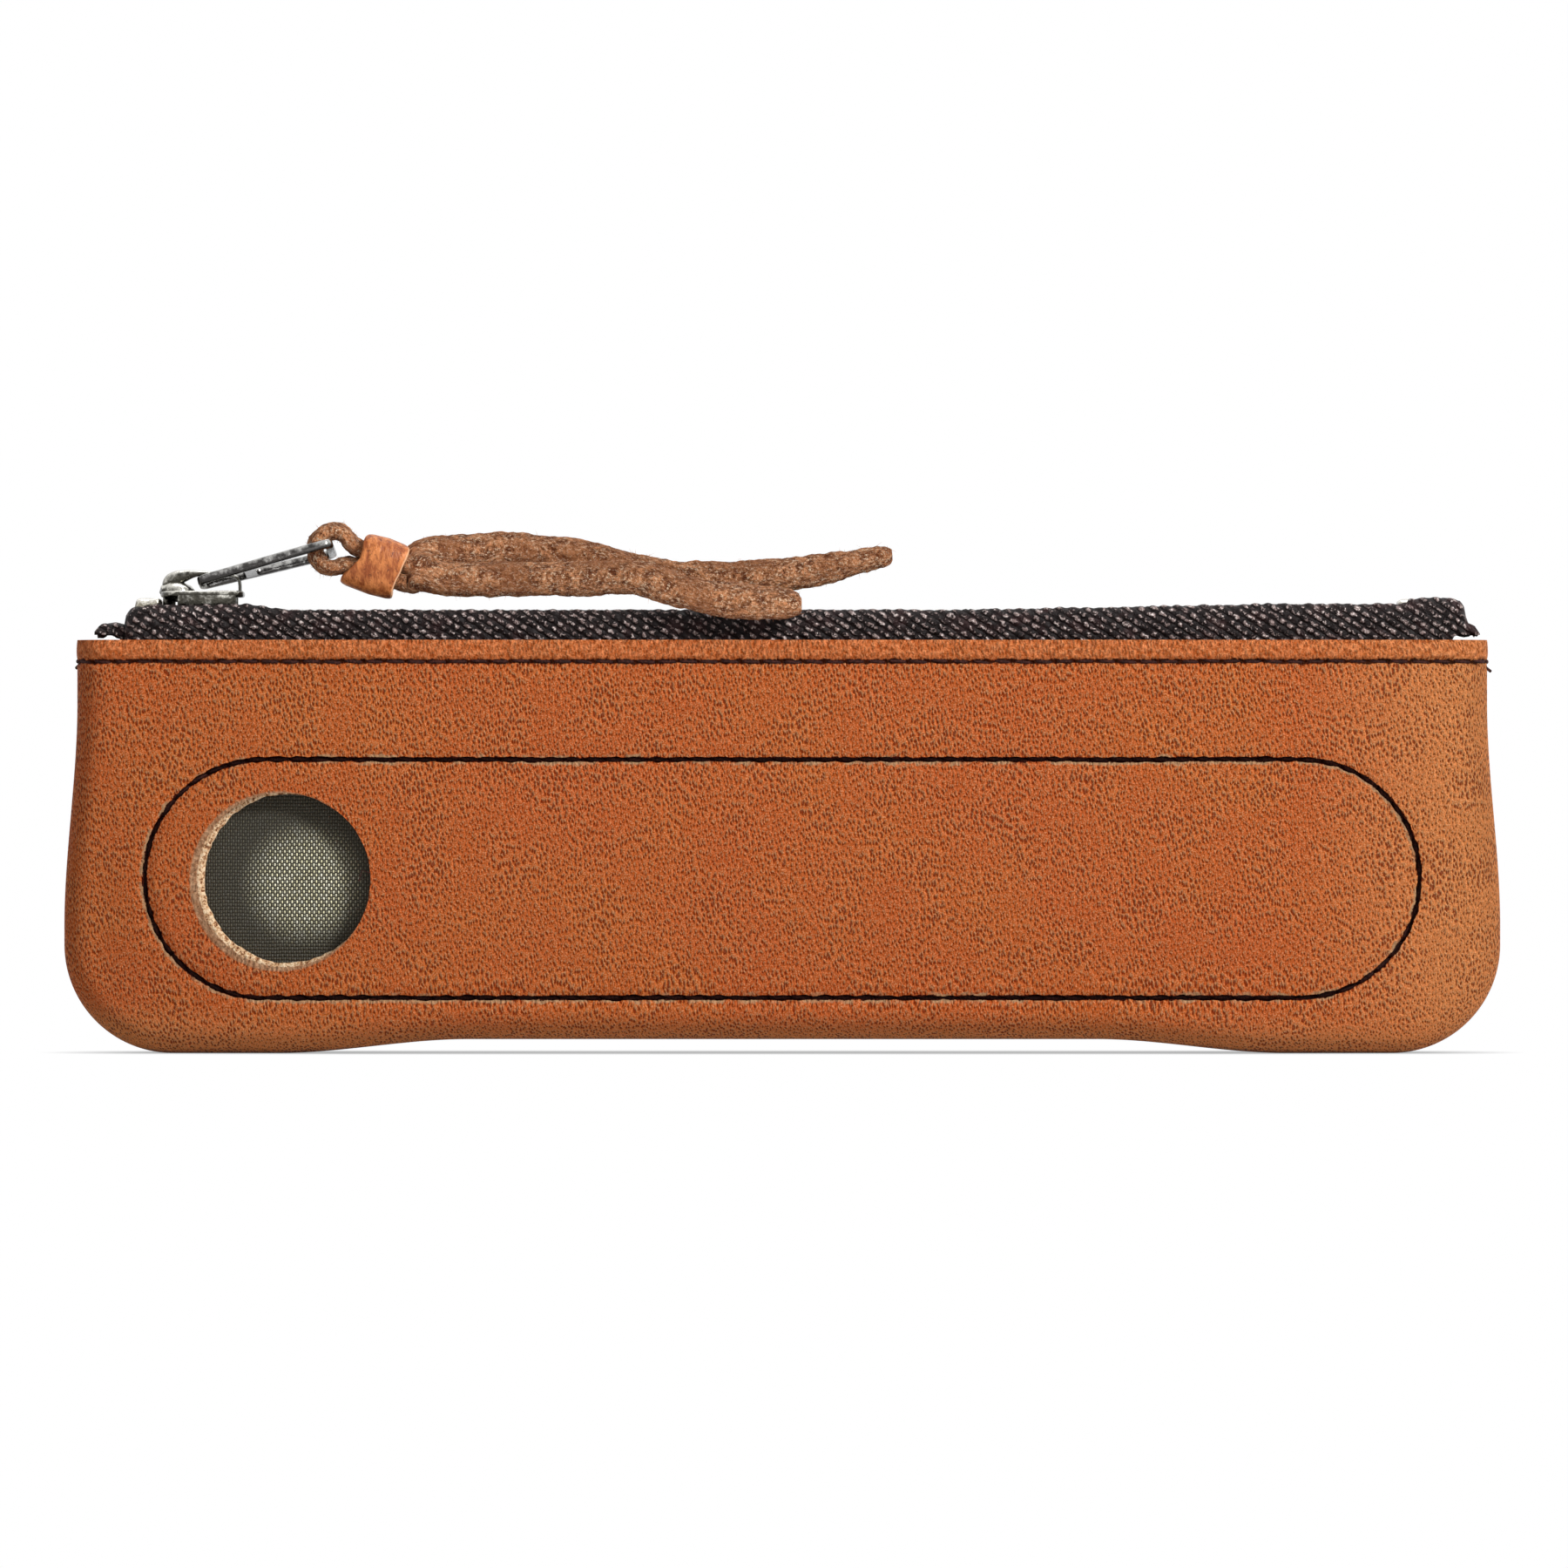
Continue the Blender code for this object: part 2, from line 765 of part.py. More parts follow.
bridge_left = slider_left + bridge_thickness / 4
bridge_right = slider_right - bridge_thickness / 2
bridge_top = upper_plate_top + bridge_room + bridge_thickness
bridge_fall = bridge_thickness / 4
shoulder = bridge_room / 2


def bridge_outline():
    """An arch as seen from the front: a heavy round nose, a flat run and a thin post at the tail."""
    nose_high = bridge_top - upper_plate_top
    outer = [(bridge_left, upper_plate_top - bite)]
    for step in range(5):
        turn = math.pi / 2 * step / 4
        outer.append(
            (
                bridge_left + shoulder * (1 - math.cos(turn)),
                bridge_top - nose_high / 2 * (1 - math.sin(turn)),
            )
        )
    outer += [
        (bridge_right - shoulder, bridge_top - bridge_fall),
        (bridge_right - shoulder / 4, bridge_top - bridge_fall - shoulder / 4),
        (bridge_right, bridge_top - bridge_fall - shoulder),
        (bridge_right, upper_plate_top - bite),
    ]
    inner = [
        (bridge_right - bridge_post_length, upper_plate_top - bite),
        (bridge_right - bridge_post_length, bridge_top - bridge_fall - shoulder),
        (bridge_right - shoulder, bridge_top - bridge_fall - bridge_thickness),
        (bridge_left + bridge_nose_length + shoulder / 2, bridge_top - bridge_thickness),
        (bridge_left + bridge_nose_length, bridge_top - bridge_thickness - shoulder / 2),
        (bridge_left + bridge_nose_length, upper_plate_top - bite),
    ]
    return outer + inner


bridge = guide(
    extrusion("slider_bridge", bridge_outline(), 1, -bridge_half_width, bridge_half_width, metal)
)
rounding(bridge, plate_edge_bevel)
combine(slider_body, bridge, "UNION")

# Pull: a flat frame with a small window that hangs on the bridge and a long one that ends in the far bar
bridge_hang_share = 0.52
pull_pivot = Vector((slider_middle_x, 0.0, upper_plate_top + bridge_room * bridge_hang_share))
corner_share = 0.3


def pull_half(along):
    """Half the width of the frame to the middle of its side bars."""
    return pull_near_half + (pull_far_half - pull_near_half) * along / pull_length


def pull_outline(start, end, inset):
    """A tapered outline with cut corners between two places along the frame, inset from the bars' middle."""
    corner = pull_corner_radius - inset
    near = pull_half(start) - inset
    far = pull_half(end) - inset
    low = start + inset
    high = end - inset
    side = [
        (low, near - corner), (low + corner * corner_share, near - corner * corner_share),
        (low + corner, near), (high - corner, far),
        (high - corner * corner_share, far - corner * corner_share), (high, far - corner),
    ]
    return side + [(x, -y) for x, y in reversed(side)]


def pull_window(name, start, end):
    outline = pull_outline(start, end, pull_bar_half)
    return guide(extrusion(name, outline, 2, -2 * pull_bar_half, 2 * pull_bar_half, metal))


pull_frame = extrusion(
    "pull_frame", pull_outline(0.0, pull_length, -pull_bar_half), 2, -pull_bar_half, pull_bar_half, metal
)
pull_web_end = pull_web_start + pull_web_length
near_window = pull_window("pull_near_window", 0.0, pull_web_start + pull_bar_half)
far_window = pull_window("pull_far_window", pull_web_end - pull_bar_half, pull_length)
combine(pull_frame, near_window, "DIFFERENCE")
combine(pull_frame, far_window, "DIFFERENCE")
rounding(pull_frame, pull_bar_bevel)
tilt = Matrix.Rotation(-math.radians(pull_tilt_degrees), 4, "Y")
roll = Matrix.Rotation(-math.radians(pull_roll_degrees), 4, "X")
for placed in (pull_frame, near_window, far_window):
    placed.matrix_world = Matrix.Translation(pull_pivot) @ tilt @ roll
far_bar = pull_pivot + (tilt @ Vector((pull_length, 0.0, 0.0)))

# Suede strap: one strip folded round the far bar, through the keeper, and out in two tails
slope = math.radians(strap_slope_degrees)
ahead = Vector((math.cos(slope), 0.0, math.sin(slope)))
upward = Vector((-math.sin(slope), 0.0, math.cos(slope)))
loop_inside = strap_loop_radius - strap_thickness / 2
loop_centre = far_bar + ahead * (loop_inside - pull_bar_half - strap_bar_gap)
keeper_centre = loop_centre + ahead * keeper_distance
fold_offset = (strap_thickness + strap_fold_gap) / 2
rest_height = chain_middle + chain_height / 2 + piece_gap + strap_width / 2
front_out_share = 0.7
front_out = tape_wall_half + piece_gap + strap_thickness * front_out_share

# Each row: share of the tail's length, rise in strap widths, share of the way out, turn in degrees
rear_tail_shares = [
    (0.04, 0.80, 0.02, 25),
    (0.12, 0.90, 0.12, 62),
    (0.23, 0.92, 0.17, 78),
    (0.34, 0.70, 0.18, 80),
    (0.45, 0.32, 0.18, 80),
    (0.55, 0.08, 0.18, 80),
    (0.68, 0.06, 0.18, 78),
    (0.80, 0.20, 0.18, 74),
    (0.91, 0.48, 0.18, 72),
    (1.00, 0.72, 0.18, 70),
]
front_tail_shares = [
    (0.05, 0.10, -0.08, 25),
    (0.15, 0.08, -0.20, 60),
    (0.30, 0.06, -0.28, 78),
    (0.45, 0.04, -0.50, 80),
    (0.58, 0.05, -0.78, 82),
    (0.70, -0.36, -1.04, 82),
    (0.84, -0.62, -1.07, 80),
    (1.00, -0.72, -1.07, 78),
]


def tail_points(length, shares):
    start = keeper_centre.x + keeper_length / 2 + keeper_lead
    return [
        (
            Vector((start + along * length, out * front_out, rest_height + rise * strap_width)),
            math.radians(turn),
        )
        for along, rise, out, turn in shares
    ]


def strap_points():
    """From the end of the rear tail, round the loop, to the end of the front tail."""
    half = keeper_length / 2 + keeper_lead
    points = tail_points(rear_tail_length, rear_tail_shares)[::-1]
    points.append((keeper_centre + upward * fold_offset + ahead * half, 0.0))
    points.append((keeper_centre + upward * fold_offset - ahead * half, 0.0))
    for degrees in (70, 105, 140, 180, 220, 255, 290):
        turn = math.radians(degrees)
        away = ahead * math.cos(turn) + upward * math.sin(turn)
        points.append((loop_centre + away * strap_loop_radius, 0.0))
    points.append((keeper_centre - upward * fold_offset - ahead * half, 0.0))
    points.append((keeper_centre - upward * fold_offset + ahead * half, 0.0))
    return points + tail_points(front_tail_length, front_tail_shares)


def between(a, b, c, d, share):
    """A smooth curve from b to c."""
    return (
        b * 2
        + (c - a) * share
        + (a * 2 - b * 5 + c * 4 - d) * share ** 2
        + (b * 3 - a - c * 3 + d) * share ** 3
    ) / 2


def smooth_route(points, steps):
    route = []
    for number in range(len(points) - 1):
        four = [points[min(max(number + k, 0), len(points) - 1)] for k in (-1, 0, 1, 2)]
        for step in range(steps):
            share = step / steps
            place = between(*[p for p, _ in four], share)
            turn = four[1][1] + (four[2][1] - four[1][1]) * share
            route.append((place, turn))
    route.append(points[-1])
    return route


cut_end_share = 0.72
section_shares = [
    (1.0, 0.4), (0.8, 1.0), (-0.8, 1.0), (-1.0, 0.4), (-1.0, -0.4), (-0.8, -1.0), (0.8, -1.0), (1.0, -0.4),
]


def strap(name, material):
    """The strip's rounded section, carried along its route and turned about it."""
    route = smooth_route(strap_points(), 2)
    vertices = []
    for number, (place, turn) in enumerate(route):
        before = route[max(number - 1, 0)][0]
        after = route[min(number + 1, len(route) - 1)][0]
        along = (after - before).normalized()
        level = Vector((0.0, 1.0, 0.0))
        level = (level - along * level.dot(along)).normalized()
        other = along.cross(level)
        sense = 1.0 if other.z >= 0 else -1.0
        wide = level * math.cos(turn) + other * math.sin(turn) * sense
        flat = along.cross(wide)
        end = min(number, len(route) - 1 - number)
        size = cut_end_share if end == 0 else 1.0
        for a, b in section_shares:
            across = wide * (a * size * strap_width / 2)
            vertices.append(place + across + flat * (b * size * strap_thickness / 2))
    count = len(section_shares)
    faces = [list(range(count)), list(range(len(vertices) - count, len(vertices)))]
    for station in range(len(route) - 1):
        base = station * count
        for i in range(count):
            j = (i + 1) % count
            faces.append([base + i, base + j, base + count + j, base + count + i])
    return piece(name, vertices, faces, material)


pull_strap = strap("pull_strap", finish("suede", suede_colour, 0.95))
move_origin(pull_strap, far_bar)


def keeper(name, material):
    """A smooth leather band closed round both runs of the strap."""
    inner_wide = strap_width / 2 + piece_gap
    inner_high = strap_thickness + strap_fold_gap / 2 + piece_gap
    vertices = []
    for along, wall in ((-1, keeper_thickness), (1, keeper_thickness), (1, 0.0), (-1, 0.0)):
        for a, b in section_shares:
            vertices.append(
                keeper_centre
                + ahead * (along * keeper_length / 2)
                + Vector((0.0, a * (inner_wide + wall), 0.0))
                + upward * (b * (inner_high + wall))
            )
    count = len(section_shares)
    faces = []
    for row in range(4):
        base = row * count
        following = ((row + 1) % 4) * count
        for i in range(count):
            j = (i + 1) % count
            faces.append([base + i, base + j, following + j, following + i])
    return piece(name, vertices, faces, material)


strap_keeper = keeper("strap_keeper", finish("leather_keeper", leather_colour, 0.4))
move_origin(strap_keeper, far_bar)
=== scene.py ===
"""Looks of a zippered leather pencil case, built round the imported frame.

Metres, +Z up, front towards -Y. The sections follow the case as it is sewn: studio, leather, lining,
threads, zip, slider, pull and strap.
"""

import json
import math

import bmesh
import bpy
import numpy as np
from mathutils import Matrix, Vector, noise


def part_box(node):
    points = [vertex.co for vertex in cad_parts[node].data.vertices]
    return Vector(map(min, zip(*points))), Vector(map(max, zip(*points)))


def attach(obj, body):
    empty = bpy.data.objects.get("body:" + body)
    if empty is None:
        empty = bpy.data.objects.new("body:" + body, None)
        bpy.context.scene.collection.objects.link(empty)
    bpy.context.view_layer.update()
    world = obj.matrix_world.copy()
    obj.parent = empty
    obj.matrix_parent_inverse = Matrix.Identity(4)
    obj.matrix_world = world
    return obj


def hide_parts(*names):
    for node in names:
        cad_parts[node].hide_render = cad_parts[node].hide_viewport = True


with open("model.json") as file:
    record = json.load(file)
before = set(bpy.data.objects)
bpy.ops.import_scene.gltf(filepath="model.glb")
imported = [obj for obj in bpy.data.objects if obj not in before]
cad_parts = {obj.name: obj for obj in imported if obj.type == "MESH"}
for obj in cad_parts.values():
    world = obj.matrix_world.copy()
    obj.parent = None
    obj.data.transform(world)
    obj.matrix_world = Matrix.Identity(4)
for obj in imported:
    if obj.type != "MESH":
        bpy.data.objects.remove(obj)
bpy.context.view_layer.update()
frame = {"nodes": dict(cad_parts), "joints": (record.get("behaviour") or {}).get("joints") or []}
bpy.ops.object.select_all(action="DESELECT")

# Camera
# A long lens looks level at the front of the case. The square picture spans 225 mm at the case.
picture_width = 0.225
camera_distance = 2.0
camera_height = 0.0385
camera_side = 0.00025
sensor_width = 36.0
bpy.ops.object.camera_add(
    location=(camera_side, -camera_distance, camera_height), rotation=(math.pi / 2, 0, 0)
)
camera = bpy.context.object
camera.name = "camera"
camera.data.sensor_width = sensor_width
camera.data.lens = sensor_width * camera_distance / picture_width
bpy.context.scene.camera = camera
bpy.context.scene.view_settings.view_transform = "Standard"

# Lamps
# A soft lamp stands high on the right, with weaker ones on the left, behind the case and low in front.


def soft_lamp(name, place, size, level):
    """A square lamp aimed at the case. A level of 1 lights a face that it looks at to its own colour."""
    aim = Vector((0.0, 0.0, camera_height))
    away = aim - Vector(place)
    bpy.ops.object.light_add(type="AREA", location=place)
    lamp = bpy.context.object
    lamp.name = name
    lamp.data.size = size
    lamp.data.energy = level * math.pi**2 * away.length_squared
    lamp.rotation_mode = "QUATERNION"
    lamp.rotation_quaternion = away.to_track_quat("-Z", "Y")
    return lamp


soft_lamp("key_lamp", (0.80, -0.70, 0.72), 0.25, 1.12)
soft_lamp("fill_lamp", (-0.9, -0.9, 0.35), 0.9, 0.12)
soft_lamp("top_lamp", (0.1, 0.25, 1.0), 0.7, 0.30)
soft_lamp("low_lamp", (0.1, -1.3, 0.04), 0.8, 0.17)

# Background
# White to the camera and in reflections, and a plain level of light for everything else.
background_light = 0.26


class Value:
    """An output in a shader's tree. Arithmetic on it adds the nodes that work it out."""

    def __init__(self, socket):
        self.socket = socket
        self.tree = socket.id_data

    def math(self, operation, other=0.0):
        made = add_node(self.tree, "ShaderNodeMath", {0: self, 1: other}, operation=operation)
        return Value(made.outputs[0])

    def __add__(self, other):
        return self.math("ADD", other)

    def __sub__(self, other):
        return self.math("SUBTRACT", other)

    def __rsub__(self, other):
        return self * -1.0 + other

    def __mul__(self, other):
        return self.math("MULTIPLY", other)

    def __truediv__(self, other):
        return self.math("DIVIDE", other)

    def __abs__(self):
        return self.math("ABSOLUTE")


def set_inputs(node, values):
    """Gives the inputs of a node their numbers, colours or links."""
    for key, value in values.items():
        socket = node.inputs[key]
        if isinstance(value, Value):
            node.id_data.links.new(value.socket, socket)
        elif socket.type == "RGBA":
            socket.default_value = (*value, 1.0)
        else:
            socket.default_value = value


def add_node(tree, kind, values=None, **settings):
    made = tree.nodes.new(kind)
    for key, value in settings.items():
        setattr(made, key, value)
    set_inputs(made, values or {})
    return made


def seeing_rays(tree):
    """1 for rays from the camera, in a reflection or through a thing, and 0 for the rest."""
    rays = tree.nodes.new("ShaderNodeLightPath").outputs
    seen = Value(rays["Is Camera Ray"]).math("MAXIMUM", Value(rays["Is Transmission Ray"]))
    return seen.math("MAXIMUM", Value(rays["Is Glossy Ray"]))


world = bpy.data.worlds.new("studio")
bpy.context.scene.world = world
world.use_nodes = True
tree = world.node_tree
level = add_node(tree, "ShaderNodeMapRange", {"Value": seeing_rays(tree), "To Min": background_light})
set_inputs(tree.nodes["Background"], {"Color": (1.0, 1.0, 1.0), "Strength": Value(level.outputs["Result"])})

# Floor
# A plain white sheet. It glows evenly to the camera and keeps a soft shadow close to the case.
floor_size = 12.0
floor_drop = 0.00002
shadow_reach = 0.010
shadow_share = 0.55
shadow_free = 0.92
bpy.ops.mesh.primitive_plane_add(size=floor_size, location=(0, 0, -floor_drop))
floor = bpy.context.object
floor.name = "floor"


def new_material(name):
    """A new material, with its node tree and its shader."""
    material = bpy.data.materials.new(name)
    material.use_nodes = True
    return material, material.node_tree, material.node_tree.nodes["Principled BSDF"]


material, tree, shader = new_material("floor_white")
set_inputs(shader, {"Base Color": (0.8, 0.8, 0.8), "Roughness": 0.9})
close = add_node(tree, "ShaderNodeAmbientOcclusion", {"Distance": shadow_reach}, samples=16)
values = {"Value": Value(close.outputs["AO"]), "From Max": shadow_free, "To Min": 1.0 - shadow_share}
shade = add_node(tree, "ShaderNodeMapRange", values)
glow = add_node(tree, "ShaderNodeEmission", {"Strength": Value(shade.outputs["Result"])})
values = {0: seeing_rays(tree), 1: Value(shader.outputs["BSDF"]), 2: Value(glow.outputs["Emission"])}
both = add_node(tree, "ShaderNodeMixShader", values)
set_inputs(tree.nodes["Material Output"], {"Surface": Value(both.outputs["Shader"])})
floor.data.materials.append(material)

# Front leather half
# One cut piece of pebbled vegetable-tanned leather, 1.6 mm thick, turned at the seams. Its top edge is
# folded in and sewn down as a hem, and a long window with round ends is cut out for the inlay.
case_low, case_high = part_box("front_panel")
foot_width = case_high.x - case_low.x
leather_height = case_high.z
top_width = 0.2018
corner_radius = 0.0155
widening_top = 0.050
widening_foot = 0.018
foot_flat_start = 0.072
foot_arch_rise = 0.0020
foot_arch_run = 0.027
belly_half = 0.0130
belly_height = 0.022
belly_fall = 0.026
mouth_half = 0.0095
foot_edge_half = 0.0065
edge_radius = 0.0050
seam_round = 0.0009
seam_valley = 0.0005
seam_gap = 0.0001
rim_relief = 0.25
leather_thickness = 0.0016
hem_height = 0.0031
hem_bulge = 0.00045
groove_depth = 0.00062
groove_half = 0.00036
rim_strips = 4
rim_arc_steps = 8
stitch_height = leather_height - hem_height
foot_centre = foot_width / 2 - corner_radius


def smooth(share):
    share = np.clip(share, 0.0, 1.0)
    return share * share * (3 - 2 * share)


def side_half_width(z):
    widening = smooth((widening_top - z) / (widening_top - widening_foot))
    return (top_width + (foot_width - top_width) * widening) / 2


def bottom_height(x):
    return foot_arch_rise * smooth((foot_flat_start - np.abs(x)) / foot_arch_run)


def half_depth(x, z):
    """From the seam plane to the leather's face."""
    rise = z - belly_height
    span = np.where(rise > 0, leather_height - belly_height, belly_fall)
    middle = mouth_half + (belly_half - mouth_half) * (1 - (rise / span) ** 2)
    edge = foot_edge_half + (mouth_half - foot_edge_half) * smooth(z / leather_height)
    across = 1 - (2 * np.abs(x) / foot_width) ** 6
    return edge + (middle - edge) * across


def side_leg(share, top):
    """Down the left side to the middle of the corner: x, z and the way out."""
    straight = top - corner_radius
    along = share * (straight + corner_radius * math.pi / 4)
    down = along < straight
    angle = math.pi + np.clip(along - straight, 0, None) / corner_radius
    z = np.where(down, top - along, corner_radius * (1 + np.sin(angle)))
    x = np.where(down, -side_half_width(z), corner_radius * np.cos(angle) - foot_centre)
    return x, z, np.where(down, -1.0, np.cos(angle)), np.where(down, 0.0, np.sin(angle))


def foot_run(share):
    """From the middle of the left corner, along the foot, to the middle of the right one."""
    arc = corner_radius * math.pi / 4
    length = 2 * arc + 2 * foot_centre
    along = share * length
    left = along < arc
    bend = left | (along > length - arc)
    angle = np.where(
        left, math.pi * 1.25 + along / corner_radius,
        math.pi * 1.5 + (along - length + arc) / corner_radius,
    )
    straight_x = along - arc - foot_centre
    curved_x = corner_radius * np.cos(angle) + np.where(left, -foot_centre, foot_centre)
    x = np.where(bend, curved_x, straight_x)
    z = np.where(bend, corner_radius * (1 + np.sin(angle)), bottom_height(x))
    return x, z, np.where(bend, np.cos(angle), 0.0), np.where(bend, np.sin(angle), -1.0)


def hem_relief(z):
    """The hem stands a little proud above the groove of the stitch line."""
    share = (z - stitch_height) / hem_height
    bulge = np.where(share > 0, hem_bulge * np.sin(math.pi * np.clip(share, 0, 1)) ** 0.8, 0.0)
    groove = groove_depth * np.exp(-(((z - stitch_height) / groove_half) ** 2))
    return bulge - groove


def grid_object(name, columns, rows):
    """A grid, with the place of each vertex across it and up it from 0 to 1."""
    bpy.ops.mesh.primitive_grid_add(x_subdivisions=columns, y_subdivisions=rows, size=1)
    made = bpy.context.object
    made.name = name
    place = np.empty(len(made.data.vertices) * 3)
    made.data.vertices.foreach_get("co", place)
    place = place.reshape(-1, 3) + 0.5
    return made, place[:, 0], place[:, 1]


def lay_grid(made, side, x, y, z):
    """Lays a grid on the front (-1) or the back (1) of the case, facing outwards."""
    made.data.vertices.foreach_set("co", np.stack([x, side * y, z], axis=1).astype(np.float32).ravel())
    if side > 0:
        made.data.flip_normals()
    made.data.update()
    return made


def pouch_sheet(name, side, under, top, columns, rows, relief):
    """Half of the pouch as a fine grid that lies under the leather's face.

    The outer rings of the grid turn round the edge to the seam, and the rest is the face.
    """
    made, share_across, share_up = grid_object(name, columns, rows)
    i = np.rint(share_across * columns)
    j = np.rint(share_up * rows)
    rings = rim_strips + rim_arc_steps
    ring = np.minimum(np.minimum(np.minimum(i, columns - i), j), rings)

    def border(i, j, ring):
        """The outline's point that a ring's vertex belongs to, and the way out there."""
        left = side_leg((rows - j) / (rows - ring), top)
        below = foot_run((i - ring) / (columns - 2 * ring))
        on_left = i <= ring
        on_right = columns - i <= ring
        x = np.where(on_left, left[0], np.where(on_right, -left[0], below[0]))
        z = np.where(on_left | on_right, left[1], below[1])
        across = np.where(on_left, left[2], np.where(on_right, -left[2], below[2]))
        up = np.where(on_left | on_right, left[3], below[3])
        return x, z, across, up

    x, z, across, up = border(i, j, ring)
    inner_x = x - across * edge_radius
    inner_z = z - up * edge_radius
    depth = half_depth(inner_x, inner_z) - under
    flat = depth / 2
    raised = relief(inner_x, z)
    strip = np.clip((ring - 1) / (rim_strips - 1), 0, 1)
    turn = math.pi / 2 * np.clip((ring - rim_strips) / rim_arc_steps, 0, 1)
    radius = edge_radius - under
    away = under + radius * (1 - np.cos(turn)) - raised * np.cos(turn) * rim_relief
    away = np.where(ring == 0, away + seam_valley, away)
    y = np.where(
        ring < rim_strips, seam_round + (flat - seam_round) * strip,
        flat + (depth - flat + raised) * np.sin(turn),
    )
    y = np.where(ring == 0, seam_gap, y)
    x = x - across * away
    z = z - up * away

    # The face is stretched between the innermost ring's three sides and the mouth
    u = np.clip((i - rings) / (columns - 2 * rings), 0, 1)
    v = np.clip((j - rings) / (rows - rings), 0, 1)
    full = np.full_like(i, rings)

    def edge(i, j):
        x, z, across, up = border(i, j, full)
        return np.stack([x - across * edge_radius, z - up * edge_radius], axis=1)

    left = edge(full, j)
    right = edge(columns - full, j)
    low = edge(i, full)
    corner_left = edge(full, full)
    corner_right = edge(columns - full, full)
    mouth_left = edge(full, np.full_like(i, rows))
    mouth_right = mouth_left * [-1, 1]
    mouth = mouth_left + (mouth_right - mouth_left) * u[:, None]
    a = u[:, None]
    b = v[:, None]
    face = (
        (1 - b) * low + b * mouth + (1 - a) * left + a * right
        - (1 - a) * (1 - b) * corner_left - a * (1 - b) * corner_right
        - (1 - a) * b * mouth_left - a * b * mouth_right
    )
    inside = ring >= rings
    x = np.where(inside, face[:, 0], x)
    z = np.where(inside, face[:, 1], z)
    y = np.where(inside, half_depth(x, z) - under + relief(x, z), y)
    return lay_grid(made, side, x, y, z)


inlay_half_length = 0.0910
inlay_half_height = 0.0170
inlay_middle_height = 0.0250
inlay_reach = inlay_half_length - inlay_half_height
seam_gap_half = 0.00030
seam_scallop = 0.00010
seam_dip = 0.00045
seam_dip_half = 0.0009
seam_rough_half = 0.0012
still_side = 0.02
still_foot = 0.012
stitch_pitch = 0.0030


def stadium_distance(x, z):
    """How far a point of the face lies outside the inlay's stitched line."""
    past = np.clip(np.abs(x) - inlay_reach, 0, None)
    return np.hypot(past, z - inlay_middle_height) - inlay_half_height


def scallop(x, z):
    """The cut edges spread at each stitch and close up between them."""
    past = np.clip(np.abs(x) - inlay_reach, 0, None)
    bend = np.arctan2(past, np.abs(z - inlay_middle_height)) * inlay_half_height
    along = np.clip(np.abs(x), 0, inlay_reach) + bend
    return seam_scallop * np.cos(2 * math.pi * along / stitch_pitch)


def ripple(x, z, size, seed):
    """Smooth noise between -1 and 1 over the face."""
    return np.array([noise.noise((a / size, seed, b / size)) for a, b in zip(x, z)])


def ripples(x, z, *rows):
    """Ripples on top of each other. Each row: depth, size and seed."""
    return sum(depth * ripple(x, z, size, seed) for depth, size, seed in rows)


def hide_waves(x, z):
    return ripples(x, z, (0.00022, 0.034, 3.1), (0.00010, 0.011, 8.4))


def line_relief(x, z, seed):
    """The dip along the stitched line round the inlay, with its rough edges."""
    line = stadium_distance(x, z)
    rough = 0.00007 * ripple(x, z, 0.0012, seed) * np.exp(-((line / seam_rough_half) ** 2))
    return rough - seam_dip * np.exp(-((line / seam_dip_half) ** 2))


def still_edges(x, z):
    """Falls to 0 at the case's side and foot edges, where the waves of the hide die out."""
    return smooth((foot_width / 2 - np.abs(x)) / still_side) * smooth(z / still_foot)


def front_relief(x, z):
    return hem_relief(z) + hide_waves(x, z) * still_edges(x, z) + line_relief(x, z, 5.7)


def cut_along(made, distance, keep_outside):
    """Cuts a fine sheet along the line where the distance is zero, as with a sharp knife."""
    mesh = bmesh.new()
    mesh.from_mesh(made.data)
    mesh.verts.ensure_lookup_table()
    place = np.array([v.co for v in mesh.verts])
    away = distance(place[:, 0], place[:, 2])
    snapped = {}
    for edge in mesh.edges:
        a, b = edge.verts[0].index, edge.verts[1].index
        if away[a] * away[b] < 0:
            near, far = (a, b) if abs(away[a]) < abs(away[b]) else (b, a)
            share = away[near] / (away[near] - away[far])
            goal = place[near] + (place[far] - place[near]) * share
            if near not in snapped or share < snapped[near][0]:
                snapped[near] = (share, goal)
    for number, (share, goal) in snapped.items():
        mesh.verts[number].co = goal
        away[number] = 0.0
    for face in list(mesh.faces):
        signs = [np.sign(away[v.index]) for v in face.verts]
        if 1.0 in signs and -1.0 in signs:
            zeros = [v for v, s in zip(face.verts, signs) if s == 0]
            if len(zeros) == 2:
                bmesh.ops.connect_vert_pair(mesh, verts=zeros)
    wrong = 1.0 if not keep_outside else -1.0
    gone = [f for f in mesh.faces if any(np.sign(away[v.index]) == wrong for v in f.verts)]
    bmesh.ops.delete(mesh, geom=gone, context="FACES")
    mesh.to_mesh(made.data)
    mesh.free()

def apply_modifier(made, kind, **settings):
    """Adds a modifier with its settings and applies it."""
    added = made.modifiers.new(kind.lower(), kind)
    for key, value in settings.items():
        setattr(added, key, value)
    bpy.context.view_layer.objects.active = made
    bpy.ops.object.modifier_apply(modifier=added.name)


def thicken(made, thickness):
    """Gives a cut sheet its thickness, on the side away from its face."""
    apply_modifier(made, "SOLIDIFY", thickness=thickness, offset=-1.0)


def smooth_edges(made, degrees=50):
    """Smooth shading, with a crease wherever two faces meet at more than this."""
    bpy.ops.object.select_all(action="DESELECT")
    made.select_set(True)
    bpy.context.view_layer.objects.active = made
    bpy.ops.object.shade_smooth_by_angle(angle=math.radians(degrees))


